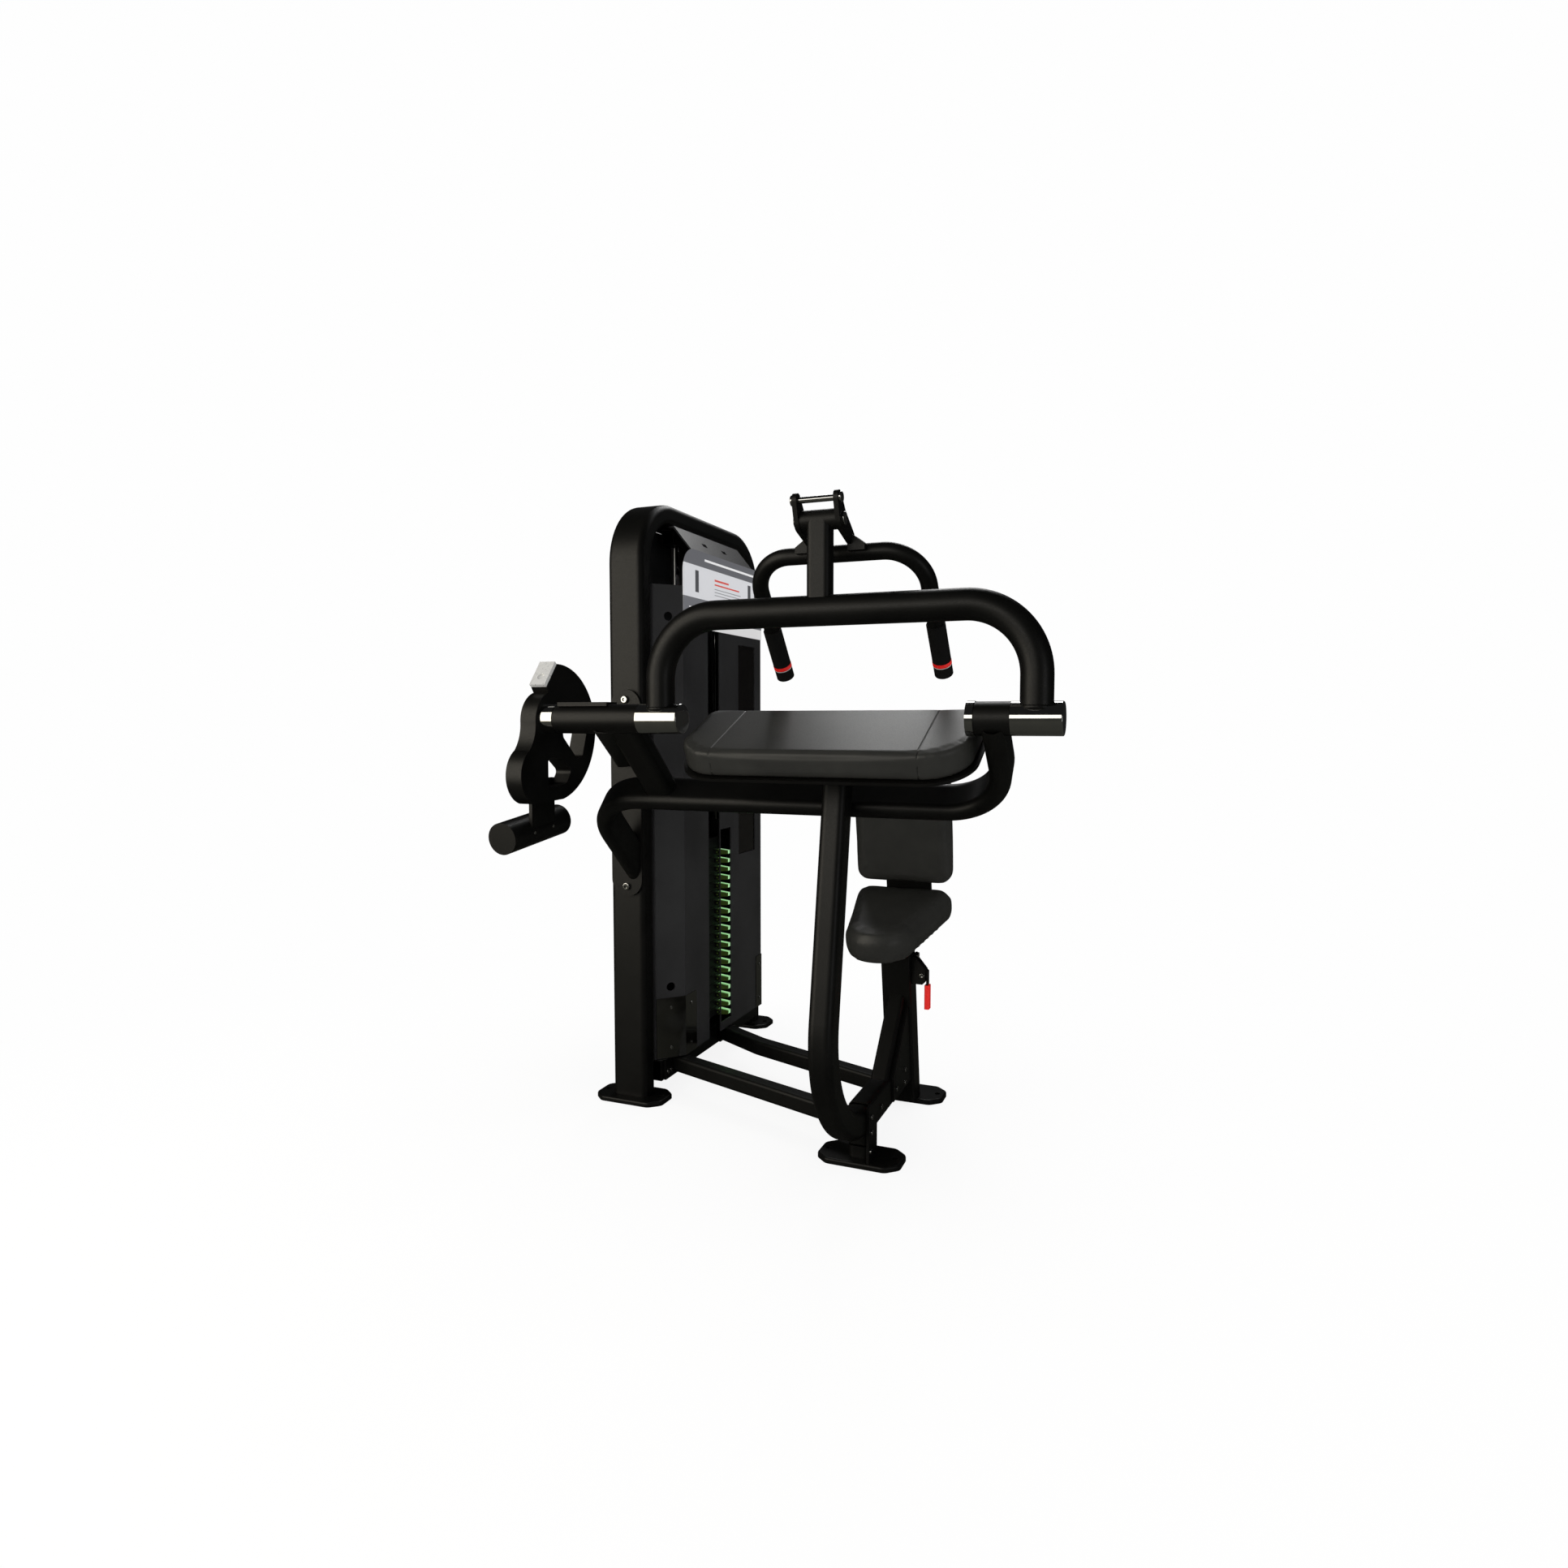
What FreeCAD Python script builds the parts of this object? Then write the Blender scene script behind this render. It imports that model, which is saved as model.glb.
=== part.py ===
import FreeCAD, Part

import math
import os

os.makedirs("parts", exist_ok=True)
V = FreeCAD.Vector

# Frame: millimetres, +Z up, origin on the floor under the middle of the front foot.
# +X runs along the arm pivot to the viewer's right, +Y runs back to the seat, the tower stands at -X.

# Clearances and overruns
overrun = 20.0
tiny = 0.01
running_gap = 0.5
bore_clearance = 0.05
soft_gap = 0.3
slide_clearance = 0.3

# Tower hoop and its feet
tower_x = -640.0
tower_near_y = 120.0
tower_span = 665.0
tower_height = 1500.0
hoop_width = 96.0
hoop_depth = 50.0
hoop_corner = 15.0
hoop_bend = 140.0
tube_wall = 3.0
foot_length = 187.0
foot_depth = 105.0
foot_thickness = 12.0
foot_straight = 132.0
foot_nose_share = 0.9
foot_corner = 20.0
foot_top_round = 5.0
anchor_spacing = 150.0
anchor_radius = 6.5

# Floor frame of the tower
sill_z = 40.0
sill_height = 52.0
sill_width = 100.0
sill_ahead = 16.0
rail_size = 40.0
rail_corner = 8.0
rail_z = 50.0
rail_flange = 6.0
rail_flange_side = 46.0
near_rail_tower_y = 223.0
near_rail_beam_y = 26.0
far_rail_tower_y = 503.0
far_rail_bend_x = -415.0
far_rail_bend_y = 403.0
far_rail_beam_y = 255.0
far_rail_bend = 120.0

# Floor beam, front post and its stub
beam_width = 50.0
beam_height = 70.0
beam_corner = 12.0
beam_z = 62.0
post_depth = 60.0
post_corner = 15.0
post_lean = 9.66
post_knee_y = -247.0
post_knee_z = 370.0
stub_depth = 52.0
stub_wall = 5.0
stub_slit = 4.0
heel_plate_thickness = 6.0
heel_plate_front = 48.0
heel_plate_depth = 60.0
heel_plate_height = 122.0

# Mounting plate on the near tower leg
mount_plate_width = 84.0
mount_plate_aside = 5.0
mount_plate_thickness = 10.0
mount_plate_bottom = 520.0
mount_plate_length = 509.0
mount_bolt_inset = 25.0

# Arm pivot
pivot_y = -276.0
pivot_z = 956.0
housing_radius = 30.0
housing_wall = 6.0
left_housing_x = -573.0
left_housing_length = 194.0
right_housing_x = 290.0
right_housing_length = 62.0
shaft_radius = 20.0
bush_length = 24.0
collar_radius = 31.0
left_collar_length = 32.0
right_collar_length = 14.0
left_sleeve_length = 87.0
right_sleeve_length = 76.0
left_cap_length = 5.0
right_cap_length = 12.0
cap_round = 2.5
stop_plate_x = -565.0
stop_plate_length = 117.0
stop_plate_depth = 40.0
stop_plate_thickness = 4.0

# Fixed frame that carries the pivot
frame_slope = 43.1
frame_in_plane = 40.0
frame_across = 80.0
frame_corner = 19.0
frame_drop = 238.0
frame_right_x = 322.0
frame_left_x = -617.0
frame_end_aside = 22.0
frame_right_bend = 120.0
frame_left_bend = 140.0
strut_x = -424.5
strut_in_plane = 67.0
strut_across = 44.0
strut_corner = 15.0
hub_bar_x = -450.0
hub_bar_width = 70.0
hub_bar_height = 60.0
hub_bar_end_z = 853.0
hub_bar_end_aside = 20.0

# Arm pad and its tray
pad_front_y = -340.5
pad_front_z = 893.0
pad_slope = 23.8
pad_depth = 208.0
pad_thickness = 52.0
pad_seam_x = 200.0
pad_half_length = 284.0
pad_front_corner = 84.0
pad_rear_corner = 24.0
pad_edge_round = 8.0
tray_thickness = 6.0
tray_lip = 7.0

# Swinging U-bar, its post and the yoke
ubar_radius = 28.5
ubar_wall = 3.5
ubar_rise = 199.0
ubar_foot_rise = 21.0
ubar_bend = 124.0
right_leg_shift = 3.5
arm_post_width = 46.0
arm_post_depth = 38.0
arm_post_corner = 12.0
arm_post_back = 2.0
handle_axis_z = 1320.0
cross_radius = 19.0
cross_half = 35.0
cross_bore = 8.0
yoke_thickness = 9.0
yoke_rod_radius = 6.0
yoke_rod_ahead = 20.0
yoke_rod_above = 34.0
yoke_head_radius = 13.0
yoke_waist_radius = 21.0
yoke_foot_radius = 13.0
yoke_foot_back = 56.0
yoke_foot_below = 26.0
yoke_foot_slope = 18.0
yoke_foot_flare = 25.0
yoke_head_lap = 4.0
yoke_bolt_head = 5.0

# Handle frame
handle_radius = 16.5
handle_wall = 2.5
handle_bar_back = 81.0
handle_bar_below = 49.0
handle_lean = 39.0
handle_top_half = 173.0
handle_tip_half = 173.5
handle_side = 284.0
handle_bend = 78.0
grip_radius = 19.0
grip_length = 122.0
grip_tip = 4.0
ring_from_tip = 27.0
ring_width = 8.0
ring_depth = 2.0
ring_proud = 0.4

# Cam and counterweight
cam_thickness = 38.0
cam_size = 140.0
clamp_thickness = 8.0
clamp_screw_radius = 8.0
clamp_screw_share = 0.36
neck_thickness = 8.0
neck_start = -4.0
neck_end = 77.0
neck_lap = 45.0
weight_radius = 34.0
weight_length = 200.0
weight_ahead = 0.5
weight_drop = 237.0
weight_aside = 32.5
weight_tilt = 6.7
weight_screw_radius = 3.5
weight_screw_head = 2.0
weight_screw_spacing = 66.0
weight_screw_back = 1.0

# Seat post, brace and seat slide
seat_post_width = 72.0
seat_post_depth = 60.0
seat_post_wall = 4.0
seat_post_corner = 7.0
seat_post_lean = 9.67
seat_foot_y = 350.6
seat_foot_back = 46.0
seat_post_top = 400.0
brace_width = 40.0
brace_depth = 44.0
brace_top_z = 338.0
brace_bottom_y = 122.0
gusset_thickness = 5.0
gusset_front_y = 150.0
gusset_bottom = 74.0
gusset_top = 268.0
slide_bottom = 205.0
slide_wall = 3.0

# Seat cushion
seat_rear_y = 365.0
seat_rear_z = 544.5
seat_slope = 12.0
seat_length = 320.0
seat_thickness = 69.0
seat_rear_half = 119.0
seat_front_half = 80.0
seat_rear_corner = 34.0
seat_crown = 6.0
seat_roll_share = 0.3
seat_plate_thickness = 6.0
seat_plate_width = 110.0
seat_plate_front = 190.0
seat_plate_rear = 20.0

# Back cushion
back_half = 118.0
back_front_y = 324.0
back_lean = 10.0
back_bottom = 555.0
back_height = 300.0
back_thickness = 55.0
back_corner = 27.0
back_crown = 5.0
back_roll_share = 0.25
back_plate_width = 114.0
back_plate_thickness = 8.0
back_plate_rise = 230.0
back_arm_z = 436.0

# Seat lever
lever_ahead = 4.0
lever_width = 16.0
lever_strip = 4.0
lever_top = 395.0
lever_shoulder = 377.0
lever_top_out = 10.0
lever_out = 39.0
lever_knee = 352.0
lever_pin_out = 26.0
lever_pin_z = 342.0
lever_pin_radius = 3.0
lever_hub_radius = 5.5
lever_web = 10.0
cheek_thickness = 4.0
cheek_bottom = 320.0
cheek_top = 385.0
cheek_shoulder_out = 10.0
cheek_out = 34.0
cheek_knee = 356.0
cheek_corner = 7.0
lever_grip_z = 318.0
lever_grip_length = 58.0
lever_grip_width = 22.0
lever_grip_thickness = 12.0
plunger_z = 388.5
plunger_radius = 3.5
plunger_slot_bottom = 381.3
plunger_slot_top = 392.5
plunger_slot_width = 7.8
plunger_guide_radius = 6.0
plunger_guide_length = 5.5
plunger_head_radius = 7.0
plunger_head = 4.0

# Shroud of the tower
sheet = 3.0
shroud_front_x = -540.0
shroud_side_set = 5.0
shroud_side_run = 58.0
shroud_bottom = 93.0
shroud_below_tower = 210.0
gap_before_middle = 105.5
gap_width = 69.0
window_bottom = 571.0
window_below_top = 124.0
window_from_gap = 123.0
window_edge = 43.0
window_lap = 8.0
slot_width = 66.0
slot_from_gap = 4.0
slot_bottom = 116.0
slot_top = 655.0
panel_hole_radius = 11.0
panel_hole_low = 276.0
panel_hole_below_top = 78.0
placard_lap = 99.0
placard_height = 198.0
placard_corner = 60.0
cover_hole_shares = [0.32, 0.63]
cover_hole_length = 26.0
cover_hole_width = 12.0
guard_sheet = 2.0
guard_height = 155.0
guard_near_front = 60.0
guard_far_front = 40.0
guard_screw_radius = 4.0
guard_screw_head = 2.0
flange_bolt_shares = [0.43, 0.8]
flange_bolt_rise = 20.0

# Weight stack
plate_count = 20
plate_pitch = 24.0
plate_bottom = 117.0
plate_width = 92.0
stack_ahead = 12.0
plate_length = 380.0
plate_chamfer = 2.0
rod_radius = 11.0
rod_half_spacing = 120.0
bumper_radius = 26.0
head_height = 30.0
head_bush_radius = 20.0
head_bush_height = 40.0
head_stem_radius = 12.0
head_stem_height = 70.0
rod_bracket_below = 40.0
rod_bracket_width = 36.0
rod_bracket_reach = 40.0
toggle_width = 22.0
toggle_aside = 29.0
toggle_height = 15.0
toggle_reach = 37.0
toggle_pin_radius = 2.5
toggle_ear_thickness = 3.0
toggle_ear_radius = 6.0
toggle_tip_height = 9.0

# Fasteners
socket_share = 0.5
bolt_head_radius = 9.5
bolt_head_height = 7.0
small_head_radius = 6.0
small_head_height = 4.0


def box(x0, x1, y0, y1, z0, z1):
    return Part.makeBox(x1 - x0, y1 - y0, z1 - z0, V(x0, y0, z0))


def rod(start, end, radius):
    along = end - start
    return Part.makeCylinder(radius, along.Length, start, along)


def ring(start, end, outer, inner):
    return rod(start, end, outer).cut(rod(start, end, inner))


def on_x(x0, x1, y, z, radius):
    return rod(V(x0, y, z), V(x1, y, z), radius)


def on_z(x, y, z0, z1, radius):
    return rod(V(x, y, z0), V(x, y, z1), radius)


def prism(points, along):
    return Part.Face(Part.makePolygon(points + points[:1])).extrude(along)


def turned(shape, centre, axis, angle):
    copy = shape.copy()
    copy.rotate(centre, axis, angle)
    return copy


def moved(shape, by):
    copy = shape.copy()
    copy.translate(by)
    return copy


def joined(shapes):
    return shapes[0].multiFuse(shapes[1:]).removeSplitter()


def group(shapes):
    return Part.makeCompound(shapes)


def main_solid(shape):
    return max(shape.Solids, key=lambda solid: solid.Volume)


def edges_along(shape, direction):
    found = []
    for edge in shape.Edges:
        if isinstance(edge.Curve, Part.Line):
            if abs(edge.tangentAt(edge.FirstParameter).dot(direction)) > 0.9999:
                found.append(edge)
    return found


def rounded_face(centre, across, up, width, height, corner):
    """A rectangle with round corners, in the plane of the unit vectors across and up."""
    reach_a = width / 2
    reach_b = height / 2
    flat_a = reach_a - corner
    flat_b = reach_b - corner
    diagonal = corner * math.sqrt(0.5)
    edges = []
    corners = [(1, 1), (-1, 1), (-1, -1), (1, -1)]
    starts = []
    ends = []
    for side_a, side_b in corners:
        middle = centre + across * (side_a * flat_a) + up * (side_b * flat_b)
        first = middle + across * (side_a * corner)
        last = middle + up * (side_b * corner)
        if side_a * side_b < 0:
            first, last = last, first
        tip = middle + across * (side_a * diagonal) + up * (side_b * diagonal)
        edges.append(Part.Arc(first, tip, last).toShape())
        starts.append(first)
        ends.append(last)
    for index in range(len(corners)):
        after = (index + 1) % len(corners)
        if (ends[index] - starts[after]).Length > 0:
            edges.append(Part.LineSegment(ends[index], starts[after]).toShape())
    return Part.Face(Part.Wire(Part.__sortEdges__(edges)))


def swept(points, bends, profile):
    """Straight runs joined by tangent bends; profile(place, direction) gives the section."""
    runs = []
    place = points[0]
    for index in range(1, len(points)):
        heading = (points[index] - points[index - 1]).normalize()
        if index == len(points) - 1:
            if (points[index] - place).Length > tiny:
                runs.append(profile(place, heading).extrude(points[index] - place))
            break
        onward = (points[index + 1] - points[index]).normalize()
        turn = heading.getAngle(onward)
        radius = bends[index - 1]
        short = radius * math.tan(turn / 2)
        bend_start = points[index] - heading * short
        runs.append(profile(place, heading).extrude(bend_start - place))
        axis = heading.cross(onward).normalize()
        centre = bend_start + axis.cross(heading) * radius
        runs.append(profile(bend_start, heading).revolve(centre, axis, math.degrees(turn)))
        place = points[index] + onward * short
    return joined(runs)


def flat_tube(points, bends, normal, width, depth, corner, wall):
    """A hollow tube in one plane: width along the plane's normal, depth within the plane."""

    def outer(place, heading):
        return rounded_face(place, normal, normal.cross(heading), width, depth, corner)

    def inner(place, heading):
        return rounded_face(
            place,
            normal,
            normal.cross(heading),
            width - 2 * wall,
            depth - 2 * wall,
            corner - wall,
        )

    solid = swept(points, bends, outer)
    return solid, solid.cut(swept(points, bends, inner))


def round_tube(points, bends, radius, wall):
    def disc(size):
        def face(place, heading):
            return Part.Face(Part.Wire(Part.Circle(place, heading, size).toShape()))

        return face

    solid = swept(points, bends, disc(radius))
    return solid, solid.cut(swept(points, bends, disc(radius - wall)))


def cap_head(place, direction, radius, height):
    """A round screw head with a hexagon socket, seated at place and standing out along direction."""
    socket = radius * socket_share
    head = rod(place, place + direction * height, radius)
    rim = [edge for edge in head.Edges if (edge.BoundBox.Center - place).dot(direction) > height / 2]
    head = head.makeFillet(height / 3, [edge for edge in rim if isinstance(edge.Curve, Part.Circle)])
    side = direction.cross(V(0, 0, 1))
    if side.Length < tiny:
        side = V(1, 0, 0)
    side.normalize()
    points = []
    for index in range(6):
        arm = FreeCAD.Rotation(direction, 60 * index).multVec(side)
        points.append(place + direction * (height / 2) + arm * socket)
    return head.cut(prism(points, direction * height))


nodes = {}
along_x = V(1, 0, 0)
along_y = V(0, 1, 0)
along_z = V(0, 0, 1)

# Feet: a flat plate with rounded corners, a rounded upper edge and two anchor holes.
tower_far_y = tower_near_y + tower_span
foot_side = (foot_length - foot_straight) / 2
foot_nose = foot_side * foot_nose_share


def foot(x, y):
    half = foot_length / 2
    deep = foot_depth / 2
    flat = foot_straight / 2
    nose = deep - foot_nose
    outline = [
        V(x - flat, y - deep, 0),
        V(x + flat, y - deep, 0),
        V(x + half, y - nose, 0),
        V(x + half, y + nose, 0),
        V(x + flat, y + deep, 0),
        V(x - flat, y + deep, 0),
        V(x - half, y + nose, 0),
        V(x - half, y - nose, 0),
    ]
    plate = prism(outline, V(0, 0, foot_thickness))
    plate = plate.makeFillet(foot_corner, edges_along(plate, along_z))
    rim = [edge for edge in plate.Edges if edge.BoundBox.ZMin > foot_thickness / 2]
    plate = plate.makeFillet(foot_top_round, rim)
    for side in (-1, 1):
        centre_x = x + side * anchor_spacing / 2
        plate = plate.cut(on_z(centre_x, y, -overrun, foot_thickness + overrun, anchor_radius))
    return plate


seat_foot_middle = seat_foot_y + seat_foot_back
nodes["rear_feet"] = group(
    [foot(0, seat_foot_middle), foot(tower_x, tower_near_y), foot(tower_x, tower_far_y)]
)

# Tower hoop: one flat-oval tube bent into an upturned U, standing on its two feet.
hoop_top = tower_height - hoop_depth / 2
hoop_points = [
    V(tower_x, tower_near_y, foot_thickness),
    V(tower_x, tower_near_y, hoop_top),
    V(tower_x, tower_far_y, hoop_top),
    V(tower_x, tower_far_y, foot_thickness),
]
hoop_solid, hoop = flat_tube(
    hoop_points, [hoop_bend, hoop_bend], along_x, hoop_width, hoop_depth, hoop_corner, tube_wall
)
nodes["tower_hoop"] = hoop

# Sill: a box tube across the foot of the hoop, between its legs.
leg_front_y = tower_near_y - hoop_depth / 2
leg_inner_y = tower_near_y + hoop_depth / 2
far_inner_y = tower_far_y - hoop_depth / 2
hoop_front_x = tower_x + hoop_width / 2
sill_front_x = hoop_front_x + sill_ahead
sill_back_x = sill_front_x - sill_width
sill_top = sill_z + sill_height
sill = box(sill_back_x, sill_front_x, leg_inner_y, far_inner_y, sill_z, sill_top)
sill = sill.cut(
    box(
        sill_back_x + tube_wall,
        sill_front_x - tube_wall,
        leg_inner_y - overrun,
        far_inner_y + overrun,
        sill_z + tube_wall,
        sill_top - tube_wall,
    )
)
nodes["tower_sill"] = sill

# Floor beam: runs back from the foot of the front post to the seat post.
beam_mid_z = beam_z + beam_height / 2
lean_sin = math.sin(math.radians(post_lean))
lean_cos = math.cos(math.radians(post_lean))
post_bend = (post_knee_z - beam_mid_z) / (1 + lean_sin)
post_heel_y = post_knee_y + post_bend * lean_cos
seat_lean_cos = math.cos(math.radians(seat_post_lean))
seat_lean_sin = math.sin(math.radians(seat_post_lean))
seat_up = V(0, -seat_lean_sin, seat_lean_cos)
seat_back = V(0, seat_lean_cos, seat_lean_sin)
seat_base = V(0, seat_foot_y, foot_thickness)


def seat_place(z, back=0):
    """A point on the middle line of the seat post at height z, moved back across the post."""
    return seat_base + seat_up * ((z - foot_thickness) / seat_lean_cos) + seat_back * back


def seat_column(width, depth, corner, z0, z1):
    face = rounded_face(seat_place(z0), along_x, seat_back, width, depth, corner)
    return face.extrude(seat_place(z1) - seat_place(z0))


seat_column_solid = seat_column(
    seat_post_width, seat_post_depth, seat_post_corner, -overrun, seat_post_top
)
seat_column_solid = seat_column_solid.cut(
    box(-seat_post_width, seat_post_width, 0, 2 * seat_foot_y, -3 * overrun, foot_thickness)
)
beam_solid, beam = flat_tube(
    [V(0, post_heel_y, beam_mid_z), V(0, seat_foot_y, beam_mid_z)],
    [],
    along_x,
    beam_width,
    beam_height,
    beam_corner,
    tube_wall,
)
nodes["floor_beam"] = beam.cut(seat_column_solid)

# Front post: leans forward from the pad, then bends back into the end of the floor beam.
post_down = V(0, -lean_sin, -lean_cos)
post_knee = V(0, post_knee_y, post_knee_z)
pad_sin = math.sin(math.radians(pad_slope))
pad_cos = math.cos(math.radians(pad_slope))
pad_in = V(0, pad_cos, pad_sin)
pad_up = V(0, -pad_sin, pad_cos)
pad_front = V(0, pad_front_y, pad_front_z)
tray_under = pad_front - pad_up * (pad_thickness + soft_gap + tray_thickness)
post_reach = (tray_under - post_knee).Length
post_turn = math.radians(90 + post_lean)
post_corner_point = post_knee + post_down * (post_bend * math.tan(post_turn / 2))
post_solid, post = flat_tube(
    [post_knee - post_down * post_reach, post_corner_point, V(0, post_heel_y, beam_mid_z)],
    [post_bend],
    along_x,
    beam_width,
    post_depth,
    post_corner,
    tube_wall,
)
above_tray = prism(
    [
        tray_under - pad_in * pad_depth,
        tray_under + pad_in * (2 * pad_depth),
        tray_under + pad_in * (2 * pad_depth) + pad_up * post_reach,
        tray_under - pad_in * pad_depth + pad_up * post_reach,
    ],
    V(2 * pad_half_length, 0, 0),
)
above_tray.translate(V(-pad_half_length, 0, 0))

# Front stub: a short slit tube between the heel of the post and the front foot.
stub_half = stub_depth / 2
stub = rounded_face(V(0, 0, foot_thickness), along_x, along_y, beam_width, stub_depth, post_corner)
stub = stub.extrude(V(0, 0, beam_z))
stub_hole = rounded_face(
    V(0, 0, foot_thickness),
    along_x,
    along_y,
    beam_width - 2 * stub_wall,
    stub_depth - 2 * stub_wall,
    post_corner - stub_wall,
)
stub = stub.cut(stub_hole.extrude(V(0, 0, beam_z)))
stub_slot_z = (foot_thickness + beam_z) / 2
stub = stub.cut(
    box(-stub_half, stub_half, -stub_depth, 0, stub_slot_z, stub_slot_z + stub_slit)
)
stub = stub.cut(post_solid).cut(beam_solid)
heel_plate_x = beam_width / 2
heel_plate = box(
    heel_plate_x,
    heel_plate_x + heel_plate_thickness,
    -heel_plate_front,
    heel_plate_depth - heel_plate_front,
    foot_thickness,
    foot_thickness + heel_plate_height,
)
nodes["front_foot"] = joined([foot(0, 0), stub, heel_plate])

# Rails: two box tubes from the sill to the floor beam, each with a bolted end flange.
rail_mid_z = rail_z + rail_size / 2
rail_end_x = -beam_width / 2


def rail(start_y, side, points, bends):
    ends = [V(sill_front_x - overrun, start_y, rail_mid_z)]
    whole, hollow = flat_tube(
        ends + points, bends, along_z, rail_size, rail_size, rail_corner, tube_wall
    )
    keep = box(
        sill_front_x + rail_flange, rail_end_x, -tower_span, 2 * tower_span, 0, tower_height
    )
    flange_ends = [
        start_y + side * (rail_size / 2 + rail_flange_side),
        start_y - side * (rail_size / 2 + rail_flange),
    ]
    flange = box(
        sill_front_x,
        sill_front_x + rail_flange,
        min(flange_ends),
        max(flange_ends),
        sill_z,
        sill_top,
    )
    return whole.common(keep), joined([flange, hollow.common(keep)])


near_solid, near_rail = rail(near_rail_tower_y, -1, [V(0, near_rail_beam_y, rail_mid_z)], [])
far_solid, far_rail = rail(
    far_rail_tower_y,
    1,
    [V(far_rail_bend_x, far_rail_bend_y, rail_mid_z), V(0, far_rail_beam_y, rail_mid_z)],
    [far_rail_bend],
)
nodes["near_rail"] = near_rail
nodes["far_rail"] = far_rail

# Mounting plate: an upright plate with round ends, bolted to the near leg of the hoop.
plate_front_y = leg_front_y - mount_plate_thickness
mount_radius = mount_plate_width / 2
mount_x = tower_x + mount_plate_aside
mount_low = V(mount_x, plate_front_y, mount_plate_bottom + mount_radius)
mount_high = mount_low + V(0, 0, mount_plate_length - mount_plate_width)
mounting_plate = joined(
    [
        box(
            mount_x - mount_radius,
            mount_x + mount_radius,
            plate_front_y,
            leg_front_y,
            mount_low.z,
            mount_high.z,
        ),
        rod(mount_low, mount_low + V(0, mount_plate_thickness, 0), mount_radius),
        rod(mount_high, mount_high + V(0, mount_plate_thickness, 0), mount_radius),
    ]
)
nodes["mounting_plate"] = mounting_plate

# Pivot housings: two fixed tubes on the pivot axis, with bearing bushes pressed in.
left_housing_end = left_housing_x + left_housing_length
right_housing_end = right_housing_x + right_housing_length
housing_bore = housing_radius - housing_wall


def on_pivot(x0, x1, radius):
    return on_x(x0, x1, pivot_y, pivot_z, radius)


def pivot_ring(x0, x1, outer, inner):
    return on_pivot(x0, x1, outer).cut(on_pivot(x0, x1, inner))


left_housing = pivot_ring(left_housing_x, left_housing_end, housing_radius, housing_bore)
right_housing = pivot_ring(right_housing_x, right_housing_end, housing_radius, housing_bore)
stop_plate_z = pivot_z + housing_radius
stop_plate = box(
    stop_plate_x,
    stop_plate_x + stop_plate_length,
    pivot_y - stop_plate_depth / 2,
    pivot_y + stop_plate_depth / 2,
    stop_plate_z - stop_plate_thickness,
    stop_plate_z + stop_plate_thickness,
)
stop_plate = stop_plate.cut(on_pivot(stop_plate_x, left_housing_end, housing_radius))
nodes["pivot_housings"] = group([joined([left_housing, stop_plate]), right_housing])
bush_bore = shaft_radius + bore_clearance
bush_places = [
    left_housing_x,
    left_housing_end - bush_length,
    right_housing_x,
    right_housing_end - bush_length,
]
nodes["pivot_bushes"] = group(
    [pivot_ring(x, x + bush_length, housing_bore, bush_bore) for x in bush_places]
)

# Pivot frame: a bent flat-oval tube from the right housing, under the pad, to the mounting plate.
slope_cos = math.cos(math.radians(frame_slope))
slope_sin = math.sin(math.radians(frame_slope))
frame_down = V(0, slope_cos, -slope_sin)
frame_normal = V(0, slope_sin, slope_cos)
pivot = V(0, pivot_y, pivot_z)
plate_reach = (plate_front_y - pivot_y) / slope_cos


def frame_place(x, drop):
    return pivot + V(x, 0, 0) + frame_down * drop


frame_solid, pivot_frame = flat_tube(
    [
        frame_place(frame_right_x, 0),
        frame_place(frame_right_x, frame_drop),
        frame_place(frame_left_x, frame_drop),
        frame_place(tower_x + frame_end_aside, plate_reach + frame_across),
    ],
    [frame_right_bend, frame_left_bend],
    frame_normal,
    frame_across,
    frame_in_plane,
    frame_corner,
    tube_wall,
)
past_plate = box(
    tower_x - tower_span, 0, plate_front_y, tower_far_y, -tower_height, tower_height
)
right_housing_solid = on_pivot(right_housing_x, right_housing_end, housing_radius)
left_housing_solid = on_pivot(left_housing_x, left_housing_end, housing_radius)
frame_solid = frame_solid.cut(past_plate).cut(right_housing_solid)
nodes["pivot_frame"] = pivot_frame.cut(past_plate).cut(right_housing_solid)
front_post = post.cut(above_tray).cut(frame_solid)
nodes["front_post"] = main_solid(front_post)

# Strut: ties the left housing to the run of the pivot frame.
strut_solid, strut = flat_tube(
    [frame_place(strut_x, 0), frame_place(strut_x, frame_drop - frame_in_plane / 2)],
    [],
    frame_normal,
    strut_across,
    strut_in_plane,
    strut_corner,
    tube_wall,
)
nodes["frame_strut"] = strut.cut(left_housing_solid)

# Hub bar: a box tube that ties the left housing back to the mounting plate.
hub_start = V(hub_bar_x, pivot_y, pivot_z)
hub_end = V(tower_x - hub_bar_end_aside, plate_front_y + frame_across, hub_bar_end_z)
hub_heading = (hub_end - hub_start).normalize()
hub_side = hub_heading.cross(along_z).normalize()
hub_up = hub_side.cross(hub_heading).normalize()
hub_face = rounded_face(hub_start, hub_side, hub_up, hub_bar_width, hub_bar_height, rail_corner)
hub_hole = rounded_face(
    hub_start,
    hub_side,
    hub_up,
    hub_bar_width - 2 * tube_wall,
    hub_bar_height - 2 * tube_wall,
    rail_corner - tube_wall,
)
hub_run = hub_end - hub_start
hub_bar = hub_face.extrude(hub_run).cut(hub_hole.extrude(hub_run))
hub_bar = hub_bar.cut(past_plate).cut(left_housing_solid).cut(stop_plate).cut(strut_solid)
nodes["hub_bar"] = main_solid(hub_bar)

# Pad outline: a long rounded shape, drawn in the plane of the pad.


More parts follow.
